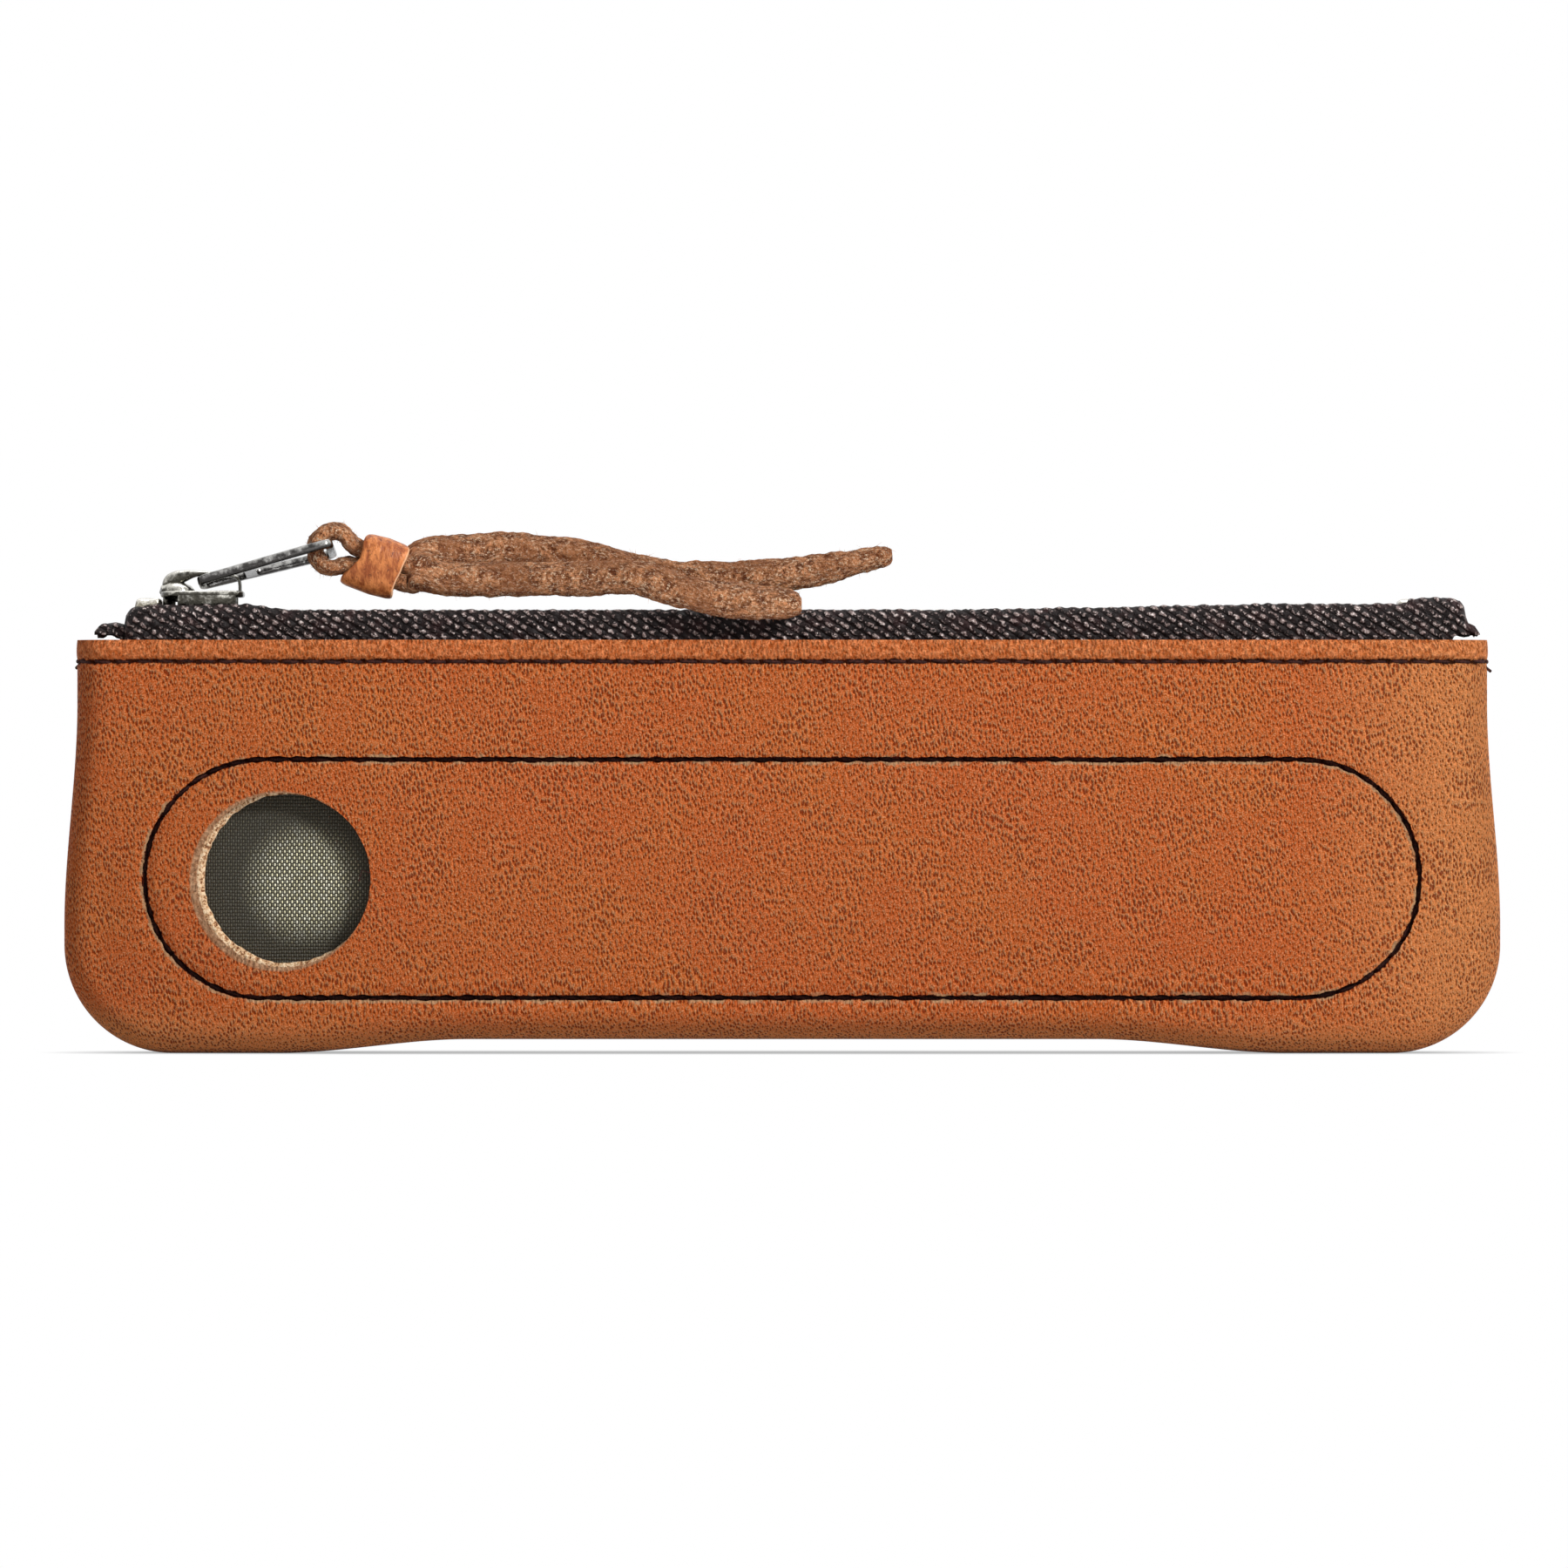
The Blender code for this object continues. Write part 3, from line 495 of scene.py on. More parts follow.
def window_distance(x, z):
    wobble = ripples(x, z, (0.00018, 0.0070, 1.3), (0.00016, 0.0014, 2.9))
    return stadium_distance(x, z) - seam_gap_half + wobble - scallop(x, z)


front_leather = pouch_sheet("front_leather", -1, 0.0, leather_height, 280, 150, front_relief)
cut_along(front_leather, window_distance, True)
thicken(front_leather, leather_thickness)


def ramp(value, low, high, to_low=0.0, to_high=1.0):
    """A value brought smoothly from one range to another."""
    values = {"Value": value, "From Min": low, "From Max": high, "To Min": to_low, "To Max": to_high}
    made = add_node(value.tree, "ShaderNodeMapRange", values, interpolation_type="SMOOTHSTEP")
    return Value(made.outputs["Result"])


def mix(share, first, second):
    """A colour between the first and the second."""
    made = add_node(share.tree, "ShaderNodeMix", {0: share, 6: first, 7: second}, data_type="RGBA")
    return Value(made.outputs[2])


def noise_at(place, size, detail=2.0, roughness=0.5, output="Fac"):
    """Noise whose spots are about as wide as size."""
    values = {"Vector": place, "Scale": 1.0 / size, "Detail": detail, "Roughness": roughness}
    return Value(add_node(place.tree, "ShaderNodeTexNoise", values).outputs[output])


def vector_math(operation, first, second=(0.0, 0.0, 0.0)):
    """A vector worked out from two others, or a plain number for a length or a distance."""
    made = add_node(first.tree, "ShaderNodeVectorMath", {0: first, 1: second}, operation=operation)
    return Value(made.outputs["Value" if operation in ("LENGTH", "DISTANCE") else "Vector"])


def mapped(place, turn, scale):
    """A place in a pattern that is turned and stretched."""
    values = {"Vector": place, "Rotation": turn, "Scale": scale}
    return Value(add_node(place.tree, "ShaderNodeMapping", values).outputs["Vector"])


def object_place(tree):
    return Value(tree.nodes.new("ShaderNodeTexCoord").outputs["Object"])


def split(vector):
    made = add_node(vector.tree, "ShaderNodeSeparateXYZ", {"Vector": vector})
    return [Value(part) for part in made.outputs]


def joined(x, y):
    return Value(add_node(x.tree, "ShaderNodeCombineXYZ", {"X": x, "Y": y}).outputs["Vector"])


def bump(height, distance):
    values = {"Height": height, "Distance": distance, "Strength": 1.0}
    return Value(add_node(height.tree, "ShaderNodeBump", values).outputs["Normal"])


def hide_plane(tree):
    """The case's surface laid flat: across and up the faces, and round the side and foot edges."""
    x, y, z = split(object_place(tree))
    turned = (ramp(x, 0.085, 0.100) - ramp(x, -0.085, -0.100)) * 0.9
    low = ramp(z, 0.012, 0.002, 0.0, -0.9)
    inwards = abs(y) * -1.0 + mouth_half
    return joined(inwards * turned + x, inwards * low + z)


pit_slant = math.radians(-26)
pit_squeeze = 0.50
pit_scale = 2050.0
small_pit_scale = 3700.0
# Offset towards the lamp's side of each pit, where its painted highlight rim lies.
lit_lip_offset = (-0.00017, -0.00006, 0.0)
amber_colour = (0.88, 0.205, 0.034)
deep_colour = (0.74, 0.112, 0.016)
# Painted light on the right side edge. The same colour also makes the foot edge paler.
paler_edge_colour = (1.0, 0.34, 0.10)
# Painted highlight on the ridges of the grain and beside each pit.
painted_highlight_colour = (1.0, 0.56, 0.27)
# Painted shade in the pits of the grain.
pit_shade_colour = (0.27, 0.018, 0.0)


def pit_distance(place, scale, randomness):
    """How far a point lies from the middle of its pit, in a scatter of pits."""
    values = {"Vector": place, "Scale": scale, "Randomness": randomness}
    made = add_node(place.tree, "ShaderNodeTexVoronoi", values, voronoi_dimensions="2D", feature="F1")
    return Value(made.outputs["Distance"])


def leather_grain(flat, base):
    """Pebbled grain: short slanting pits, fine pores and slow stains, with painted highlights on the ridges
    and beside each pit, and painted shade in the pits.

    It gives the colour, the height and the roughness.
    """
    warp = vector_math("MULTIPLY", noise_at(flat, 1 / 1500, output="Color"), (0.0005, 0.0005, 0.0))
    slanted = mapped(vector_math("ADD", flat, warp), (0.0, 0.0, pit_slant), (1.0, pit_squeeze, 1.0))
    cells = pit_distance(slanted, pit_scale, 0.95)
    small = pit_distance(slanted, small_pit_scale, 1.0)
    beside = pit_distance(vector_math("ADD", slanted, lit_lip_offset), pit_scale, 0.95)
    fine = noise_at(flat, 0.00022, 3.0, 0.75)
    broad = noise_at(flat, 0.006)
    slow = noise_at(flat, 0.028, 3.0, 0.55)
    reach = ramp(broad, 0.30, 0.72, 0.10, 0.27)
    pit = ramp(cells - reach + (fine - 0.5) * 0.22, 0.17, -0.06)
    lit_lip = ramp(beside - reach, 0.12, 0.00)
    small_pit = ramp(small, 0.22, 0.06, 0.0, 0.60)
    speck = ramp(fine, 0.44, 0.30, 0.0, 0.75)
    pit_depth_and_shade = pit.math("MAXIMUM", small_pit).math("MAXIMUM", speck)
    ridge = ramp(cells, 0.30, 0.72)
    lit_tops = ramp(ridge, 0.0, 1.0, 0.4, 1.0) * ramp(fine, 0.46, 0.62)
    tone = mix(ramp(slow, 0.35, 0.68, 0.0, 0.8), base, amber_colour)
    tone = mix(ramp(broad, 0.35, 0.65, 0.45, 0.0), tone, deep_colour)
    across, up = split(flat)[:2]
    # Paler towards the right side edge, as painted light from the key lamp on the right, and paler along
    # the foot edge.
    paler_edges = ramp(across, 0.070, 0.100, 0.0, 0.90).math("MAXIMUM", ramp(up, 0.0080, 0.0005, 0.0, 0.85))
    tone = mix(paler_edges, tone, paler_edge_colour)
    # Painted highlights: the ridges, and the rim on the lamp's side of each pit, are painted pale where the
    # key lamp catches the grain.
    tone = mix(lit_tops.math("MAXIMUM", lit_lip) * 0.62, tone, painted_highlight_colour)
    # The pits and pores are painted near black-brown, as painted shade in the hollows of the grain. The
    # same mask also sinks them in the height.
    tone = mix(pit_depth_and_shade * 0.84, tone, pit_shade_colour)
    return tone, ridge * 0.45 - pit_depth_and_shade + fine * 0.80, ramp(fine, 0.35, 0.70, 0.44, 0.62)


def inlay_line(tree):
    """How far a point of the case lies outside the stitched line round the inlay."""
    x, y, z = split(object_place(tree))
    past = (abs(x) - inlay_reach).math("MAXIMUM", 0.0)
    return vector_math("LENGTH", joined(past, z - inlay_middle_height)) - inlay_half_height


shell_colour = (0.86, 0.165, 0.030)
raw_edge_colour = (0.74, 0.44, 0.23)
hem_dark = (0.40, 0.085, 0.014)
hem_pale = (0.90, 0.32, 0.12)
hem_pore = (0.15, 0.020, 0.003)
# Painted shade in the hem's stitch groove.
groove_shade_colour = (0.030, 0.006, 0.004)
# Painted shade in the gap at the inlay's line.
gap_shade_colour = (0.045, 0.005, 0.004)


def grain_leather(name, base, raw_side):
    """Pebbled leather, with a raw edge at the inlay's line if raw_side isn't 0.

    raw_side is 1 for the hide outside the line and -1 for the hide inside it.
    """
    material, tree, shader = new_material(name)
    flat = hide_plane(tree)
    skin, height, roughness = leather_grain(flat, base)
    x, y, z = split(object_place(tree))
    hem = ramp(z, stitch_height + 0.0001, stitch_height + 0.0006)
    hem_grain = noise_at(flat, 0.0009, 3.0, 0.65)
    hem_tone = mix(ramp(hem_grain, 0.36, 0.66), hem_dark, hem_pale)
    hem_tone = mix(ramp(noise_at(flat, 0.0004), 0.40, 0.30, 0.0, 0.75), hem_tone, hem_pore)
    skin = mix(hem * 0.62, skin, hem_tone)
    # A dark band along the hem's stitch line, with ragged edges: painted shade in the groove that the
    # stitches pull into the leather.
    torn = noise_at(flat, 0.0011, 3.0, 0.65)
    from_stitch = (torn - 0.5) * 0.0012 + abs(z - stitch_height)
    skin = mix(ramp(from_stitch, 0.00042, 0.00020, 0.0, 0.95), skin, groove_shade_colour)
    if raw_side:
        line = inlay_line(tree)
        wander = (noise_at(flat, 0.0014, 4.0, 0.72) - 0.5) * 0.0017
        # The raw cut edge is pale leather of its own. It is painted stronger where the cut faces the upper
        # right, as painted light from the key lamp.
        toward_key_lamp = x * (-1.1 * raw_side) + (z - inlay_middle_height) * (-4.0 * raw_side)
        patches = ramp(noise_at(flat, 0.004) + toward_key_lamp, 0.48, 0.62, 0.0, 0.85)
        raw = ramp(line * raw_side + wander, 0.00082, 0.00058) * patches
        skin = mix(raw, skin, raw_edge_colour)
        # The line itself is painted near black, as painted shade in the narrow gap between the two hides.
        gap_shade = ramp(wander * 0.60 + abs(line), 0.00038, 0.00028, 0.0, 0.97)
        skin = mix(gap_shade, skin, gap_shade_colour)
    height = hem_grain * hem + height * (1.0 - hem * 0.60)
    set_inputs(shader, {
        "Base Color": skin, "Roughness": roughness, "Specular IOR Level": 0.03,
        "Normal": bump(height, 0.00145),
    })
    return material


front_leather.data.materials.append(grain_leather("shell_leather", shell_colour, 1.0))
smooth_edges(front_leather)
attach(front_leather, "case")
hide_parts("front_panel")

# Back leather half
# The same cut of leather without the window, joined to the front by a hidden turned seam.


def back_relief(x, z):
    waves = ripples(x, z, (0.0003, 0.030, 14.2), (0.0001, 0.010, 18.4))
    return hem_relief(z) + waves * still_edges(x, z)


back_leather = pouch_sheet("back_leather", 1, 0.0, leather_height, 220, 130, back_relief)
thicken(back_leather, leather_thickness)
back_leather.data.materials.append(grain_leather("back_shell_leather", shell_colour, 0.0))
smooth_edges(back_leather)
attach(back_leather, "case")
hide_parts("back_panel")

# Inlay
# A second piece of the same hide, cut to fill the window, with a round hole punched through at the left.
# Its edges are raw. Round the hole the cut slants inwards and shows as a smooth pale band.
hole_centre = (-0.07175, 0.0246)
hole_radius = 0.0129
hole_wall_centre = (-0.07115, 0.02485)
hole_wall_radius = 0.01245
inlay_spacing = 0.00055
edge_fall = 0.0016
edge_fall_run = 0.0010
sheet_margin = 0.001


def round_distance(x, z, centre, radius):
    """How far a point lies outside a circle on the face."""
    return np.hypot(x - centre[0], z - centre[1]) - radius


def wavering_cut(x, z, centre, radius, depth, size, seed):
    """How far a point lies outside a round cut that wavers, the same all the way through."""
    angle = np.arctan2(z - centre[1], x - centre[0])
    waver = depth * ripple(np.cos(angle) / size, np.sin(angle) / size, 1.0, seed)
    return round_distance(x, z, centre, radius) + waver


def inlay_relief(x, z):
    """Waves of the hide, the dip along the stitches, and the slanting cut at the hole."""
    inward = np.clip(-round_distance(x, z, hole_centre, hole_radius) / edge_fall_run, 0, 0.999)
    return hide_waves(x, z) + line_relief(x, z, 6.7) - edge_fall * (1 - np.sqrt(1 - inward**2))


def face_sheet(name, margin, spacing, under, relief):
    """A rectangle of grid under the front's curved face. It passes the inlay's line by the margin."""
    half_length = inlay_half_length + margin
    half_height = inlay_half_height + margin
    columns = int(2 * half_length / spacing)
    rows = int(2 * half_height / spacing)
    made, share_across, share_up = grid_object(name, columns, rows)
    x = (share_across - 0.5) * 2 * half_length
    z = (share_up - 0.5) * 2 * half_height + inlay_middle_height
    return lay_grid(made, -1, x, half_depth(x, z) - under + relief(x, z), z)


def inlay_distance(x, z):
    wobble = ripples(x, z, (0.00016, 0.0080, 21.3), (0.00015, 0.0013, 22.9))
    return stadium_distance(x, z) + seam_gap_half + wobble + scallop(x, z)


def inlay_hole(x, z):
    return wavering_cut(x, z, hole_wall_centre, hole_wall_radius, 0.00012, 0.16, 4.2)


inlay_leather = face_sheet("inlay_leather", sheet_margin, inlay_spacing, 0.0, inlay_relief)
cut_along(inlay_leather, inlay_distance, False)
cut_along(inlay_leather, inlay_hole, True)
# Each cut moves the vertices beside it, so their depth is set again
place = np.array([v.co for v in inlay_leather.data.vertices])
depth = half_depth(place[:, 0], place[:, 2]) + inlay_relief(place[:, 0], place[:, 2])
for vertex, y in zip(inlay_leather.data.vertices, depth):
    vertex.co.y = -y
thicken(inlay_leather, leather_thickness)

inlay_colour = (0.86, 0.160, 0.029)
peach_dark = (0.55, 0.25, 0.12)
peach_pale = (0.80, 0.47, 0.27)
material = grain_leather("inlay_hide", inlay_colour, -1.0)
tree = material.node_tree
shader = tree.nodes["Principled BSDF"]
skin = Value(shader.inputs["Base Color"].links[0].from_socket)
spot = object_place(tree)
x, y, z = split(spot)
ring = vector_math("LENGTH", joined(x - hole_centre[0], z - hole_centre[1])) - hole_radius
fibres = noise_at(spot, 1 / 900, 3.0, 0.7)
cut = ramp(ring + (fibres - 0.5) * 0.0006, 0.00010, -0.00025)
peach = mix(ramp(fibres, 0.35, 0.65), peach_dark, peach_pale)
set_inputs(shader, {"Base Color": mix(cut, skin, peach)})
inlay_leather.data.materials.append(material)
smooth_edges(inlay_leather)
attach(inlay_leather, "case")
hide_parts("inlay_panel")

# Backing behind the inlay
# Undyed split leather, glued behind the window and the inlay, and painted dark under the stitched line as
# painted shade in the gap. It shows only as a rough pale rim inside the hole, mostly on the left and below.
backing_under = 0.0019
backing_thickness = 0.0010
backing_margin = 0.0045
backing_spacing = 0.00060
rim_centre = (-0.0705, 0.0250)
rim_radius = 0.01205
rim_half = 0.0016
rim_rise = 0.00035
fuzz_dark = (0.62, 0.36, 0.18)
fuzz_pale = (0.86, 0.66, 0.44)
fuzz_pit = (0.16, 0.05, 0.02)
backing_gap_shade_colour = (0.030, 0.004, 0.003)


def backing_outline(x, z):
    return stadium_distance(x, z) - backing_margin


def backing_hole(x, z):
    return wavering_cut(x, z, rim_centre, rim_radius, 0.00022, 0.10, 9.2)


def backing_relief(x, z):
    near = np.exp(-((round_distance(x, z, rim_centre, rim_radius) / rim_half) ** 2))
    return (0.00016 * ripple(x, z, 0.0007, 7.7) - rim_rise) * near


backing = face_sheet(
    "split_backing", backing_margin + sheet_margin, backing_spacing, backing_under, backing_relief
)
cut_along(backing, backing_outline, False)
cut_along(backing, backing_hole, True)
thicken(backing, backing_thickness)
material, tree, shader = new_material("split_hide")
fuzz = noise_at(object_place(tree), 1 / 2100, 3.0, 0.65)
tone = mix(ramp(fuzz, 0.44, 0.62), fuzz_dark, fuzz_pale)
tone = mix(ramp(fuzz, 0.47, 0.36), tone, fuzz_pit)
# Painted shade under the stitched line, where the gap between the hides lies in shadow.
tone = mix(ramp(abs(inlay_line(tree)), 0.0018, 0.0012), tone, backing_gap_shade_colour)
set_inputs(shader, {
    "Base Color": tone, "Roughness": 0.9, "Specular IOR Level": 0.15, "Normal": bump(fuzz, 0.0006)
})
backing.data.materials.append(material)
backing.data.shade_smooth()
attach(backing, "case")
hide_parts("inlay_backing")

# Lining
# A bag of olive-grey plain-weave canvas, in two halves, sewn along the sides and the foot and hung from
# the zip tape. The front half shows through the hole, where it bellies out a little.
lining_under = 0.0032
lining_thickness = 0.0005
tape_depth = 0.0066
tape_bottom = leather_height - tape_depth
lining_drop = 0.0003
lining_top = tape_bottom - lining_drop
canvas_bulge = 0.0009
canvas_bulge_half = 0.010
warp_pitch = 0.00035
weft_pitch = 0.00048
weft_share = 0.45
# Painted shade in the gaps of the weave, painted light on its threads, and painted glints.
canvas_gap_shade = (0.020, 0.016, 0.006)
canvas_lit_thread = (1.0, 0.94, 0.62)
canvas_glint_colour = (1.0, 1.0, 0.86)
canvas_shade = (0.020, 0.016, 0.008)
canvas_bright_spot = (rim_centre[0] + 0.0022, -0.009, rim_centre[1] - 0.0008)


def front_lining_relief(x, z):
    away = round_distance(x, z, rim_centre, 0.0)
    return canvas_bulge * np.exp(-((away / canvas_bulge_half) ** 2)) + 0.00015 * ripple(x, z, 0.006, 31.0)


def back_lining_relief(x, z):
    return 0.0002 * ripple(x, z, 0.012, 35.0)


def thread_on_top(across, along):
    """A thread where it lies on top: round across its width, and dipping at both ends."""
    return (across * 2.9).math("COSINE") * (along * 2.2).math("COSINE")


material, tree, shader = new_material("olive_canvas")
spot = object_place(tree)
wobble = vector_math("MULTIPLY", noise_at(spot, 1 / 300, output="Color"), (0.00035, 0.0, 0.00035))
x, y, z = split(vector_math("ADD", spot, wobble))
u = x / warp_pitch
v = z / weft_pitch
odd = (u.math("FLOOR") + v.math("FLOOR")).math("FLOORED_MODULO", 2.0)
mid_u = u.math("FRACT") - 0.5
mid_v = v.math("FRACT") - 0.5
weave = thread_on_top(mid_u, mid_v) * odd + thread_on_top(mid_v, mid_u) * weft_share * (1.0 - odd)
rise = ramp(weave, 0.25, 0.95)
# Raised threads are painted pale and the gaps between them near black, as painted light and shade on the
# weave. Bright specks on the raised threads are painted glints.
glint_spots = ramp(noise_at(spot, 1 / 1100, 3.0, 0.7), 0.44, 0.62, 0.0, 0.95)
tone = mix(rise, canvas_gap_shade, canvas_lit_thread)
tone = mix(glint_spots * rise, tone, canvas_glint_colour)
from_spot = vector_math("DISTANCE", spot, canvas_bright_spot)
tone = mix(ramp(from_spot, 0.0040, 0.0098, 0.0, 0.93), tone, canvas_shade)
set_inputs(shader, {
    "Base Color": tone, "Roughness": 0.6, "Specular IOR Level": 0.4, "Normal": bump(weave, 0.00040)
})

for name, side, node, relief, shape in (
    ("front_canvas", -1, "front_lining", front_lining_relief, (160, 84)),
    ("back_canvas", 1, "back_lining", back_lining_relief, (120, 60)),
):
    cloth = pouch_sheet(name, side, lining_under, lining_top, *shape, relief)
    thicken(cloth, lining_thickness)
    cloth.data.materials.append(material)
    cloth.data.shade_smooth()
    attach(cloth, "case")
    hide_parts(node)

# Threads
# Waxed dark brown thread, sewn as separate stitches that dive into the leather at both ends: one row
# under each hem, wrapped over the side edges, and one round the inlay.
stitch_length = 0.00292
thread_half = 0.00027
stitch_dive = 0.00045
stitch_lean = 0.00010
inlay_stitch_under = 0.00105
hem_stitch_under = 0.00046
thread_dark = (0.014, 0.0035, 0.003)
thread_pale = (0.055, 0.015, 0.011)


def unit(rows):
    return rows / np.linalg.norm(rows, axis=-1, keepdims=True)


def squared_off(values, power):
    """Cosines or sines of a circle, pressed towards a square as the power falls below 1."""
    return np.sign(values) * np.abs(values) ** power


def sweep(points, out, half_width, half_height, sides, power=2.0):
    """Rings round a line of points. The section's height lies along out, and its power squares it off."""
    points = np.asarray(points, dtype=float)
    along = unit(np.gradient(points, axis=0))
    out = unit(out - along * np.sum(out * along, axis=1)[:, None])
    wide = np.cross(along, out)
    turn = np.linspace(0, 2 * math.pi, sides, endpoint=False)
    across = squared_off(np.cos(turn), 2 / power)
    up = squared_off(np.sin(turn), 2 / power)
    width = np.broadcast_to(half_width, len(points))[:, None, None]
    height = np.broadcast_to(half_height, len(points))[:, None, None]
    rings = points[:, None, :] + wide[:, None, :] * (width * across[None, :, None])
    return rings + out[:, None, :] * (height * up[None, :, None])


def ring_faces(stations, sides, first):
    """Quads between rings and a cap at both ends."""
    faces = []
    for station in range(stations - 1):
        base = first + station * sides
        for side in range(sides):
            other = (side + 1) % sides
            faces.append((base + side, base + other, base + sides + other, base + sides + side))
    last = first + (stations - 1) * sides
    faces.append(tuple(range(first + sides - 1, first - 1, -1)))
    faces.append(tuple(range(last, last + sides)))
    return faces


def mesh_object(name, vertices, faces):
    """An object from its vertices and faces, which are turned outwards."""
    data = bpy.data.meshes.new(name)
    data.from_pydata(vertices, [], faces)
    mesh = bmesh.new()
    mesh.from_mesh(data)
    bmesh.ops.recalc_face_normals(mesh, faces=mesh.faces)
    mesh.to_mesh(data)
    mesh.free()
    made = bpy.data.objects.new(name, data)
    bpy.context.scene.collection.objects.link(made)
    return made


def swept_object(name, bodies):
    """One smooth object from one or more lists of rings."""
    vertices = []
    faces = []
    for rings in bodies:
        faces += ring_faces(*rings.shape[:2], len(vertices))
        vertices += [tuple(v) for v in rings.reshape(-1, 3)]
    made = mesh_object(name, vertices, faces)
    made.data.shade_smooth()
    return made


def walked_along(points):
    """How far along a line each of its points lies."""
    steps = np.linalg.norm(np.diff(points, axis=0), axis=1)
    return np.concatenate([[0.0], np.cumsum(steps)])


def stitches(name, line, centre, seed):
    """A row of stitches along a line on the case. centre is the middle of the piece that they wrap."""
    chance = np.random.default_rng(seed)
    reached = walked_along(line)
    count = int(round(reached[-1] / stitch_pitch))
    pitch = reached[-1] / count
    bodies = []
    share = np.linspace(-1, 1, 9)
    taper = np.sqrt(np.clip(1 - np.abs(share) ** 5, 0.12, 1))
    for number in range(count):
        length = stitch_length * chance.uniform(0.94, 1.02)
        places = (number + 0.5) * pitch + share * length / 2
        points = np.stack([np.interp(places, reached, line[:, k]) for k in range(3)], axis=1)
        out = unit(points - centre(points))
        sideways = unit(np.cross(np.gradient(points, axis=0), out))
        toward_key_lamp = (stitch_lean + chance.normal(0, 0.00005)) * share + chance.normal(0, 0.00005)
        points = points - out * (stitch_dive * np.abs(share) ** 5)[:, None] + sideways * toward_key_lamp[:, None]
        thick = thread_half * chance.uniform(0.92, 1.08) * taper
        bodies.append(sweep(points, out, thick * 1.08, thick * 0.94, 8))
    return swept_object(name, bodies)


def stadium_line():
    """Clockwise round the inlay, from the right end of its top edge."""
    turn = np.linspace(math.pi / 2, -math.pi / 2, 60)
    right_x = inlay_reach + inlay_half_height * np.cos(turn)
    right = np.stack([right_x, inlay_half_height * np.sin(turn)], axis=1)
    low_x = np.linspace(inlay_reach, -inlay_reach, 120)[1:-1]
    low = np.stack([low_x, np.full(118, -inlay_half_height)], axis=1)
    outline = np.concatenate([right, low, -right, -low, right[:1]])
    x = outline[:, 0]
    z = outline[:, 1] + inlay_middle_height
    y = half_depth(x, z) - thread_half - inlay_stitch_under + 0.00012 * ripple(x, z, 0.010, 41.0)
    return np.stack([x, -y, z], axis=1)


def hem_line(side):
    """Along a hem's stitch line, from one side seam over the face to the other."""
    width = side_half_width(stitch_height)
    depth = half_depth(width - edge_radius, stitch_height)
    turn = np.linspace(0, math.pi / 2, 12)
    corner_x = edge_radius * (1 - np.cos(turn)) - width
    corner_y = depth / 2 + depth / 2 * np.sin(turn)
    run = np.linspace(edge_radius - width, 0, 200)[1:]
    x = np.concatenate([[-width], corner_x, run])
    y = np.concatenate([[seam_round], corner_y, half_depth(run, stitch_height)])
    x = np.concatenate([x, -x[::-1][1:]])
    y = np.concatenate([y, y[::-1][1:]])
    z = stitch_height + 0.00010 * ripple(x, y, 0.013, 43.0 + side)
    return np.stack([x, side * (y - hem_stitch_under), z], axis=1)


thread_material, tree, shader = new_material("waxed_thread")
plies = noise_at(object_place(tree), 1 / 3500, 2.0, 0.6)
set_inputs(shader, {
    "Base Color": mix(ramp(plies, 0.40, 0.70), thread_dark, thread_pale), "Roughness": 0.7,
    "Specular IOR Level": 0.15, "Normal": bump(plies, 0.0002),
})


def inside_edge(points):
    """The middle that a hem's row is wrapped round: the turned edge, or the face's own far side."""
    reach = side_half_width(stitch_height) - edge_radius
    centre = points * [1.0, 0.0, 1.0]
    centre[:, 0] = np.clip(points[:, 0], -reach, reach)
    return centre


def behind_face(points):
    return points * [1.0, 0.0, 1.0]


for name, line, centre, node, seed in (
    ("inlay_stitches", stadium_line(), behind_face, "inlay_thread", 3),
    ("front_hem_stitches", hem_line(-1), inside_edge, "front_hem_thread", 5),
    ("back_hem_stitches", hem_line(1), inside_edge, "back_hem_thread", 7),
):
    row = stitches(name, line, centre, seed)
    row.data.materials.append(thread_material)
    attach(row, "case")
    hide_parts(node)

for node in ("closing_seam_thread", "lining_seam_thread"):
    frame["nodes"][node].data.materials[0] = thread_material

# Each row: half width of a loose end, then the four points that it passes
loose_ends = [
    (0.00022, (0.0989, -0.0060, 0.0557), (0.0996, -0.0064, 0.0558),
     (0.1006, -0.0059, 0.0552), (0.1014, -0.0052, 0.0546)),
    (0.00026, (-0.0986, -0.0056, 0.0553), (-0.0998, -0.0055, 0.0552),
     (-0.1008, -0.0046, 0.0554), (-0.1011, -0.0038, 0.0551)),
    (0.00008, (-0.0596, -0.0120, 0.0252), (-0.0604, -0.0124, 0.0247),
     (-0.0599, -0.0128, 0.0262), (-0.0588, -0.0128, 0.0258)),
]
towards_front = np.tile([0.0, -1.0, 0.1], (4, 1))
ends = swept_object(
    "loose_thread_ends", [sweep(line, towards_front, half, half * 0.8, 6) for half, *line in loose_ends]
)
ends.data.materials.append(thread_material)
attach(ends, "case")

# Zip tapes
# Near-black brown herringbone, woven coarse enough to stand up as ribs. Each tape rises out of the mouth,
# turns in over the chain, and is folded over at both ends. The fold at the right stands higher.
tape_thickness = 0.0007
tape_wall = 0.0064
tape_rim = leather_height + 0.0003 + hem_bulge
tape_level = 0.0634
tape_bend = 0.0015
tape_left_end = -0.0941
tape_right_end = 0.0978
rib_pitch = 0.00105
grain_pitch = 0.00150
rib_slope = math.radians(33)
rib_height = 0.00030
tape_fold = 0.0028
end_share = 0.62
coarse_end = -0.072
coarse_run = 0.018
tape_columns = 620
tape_rows = 44

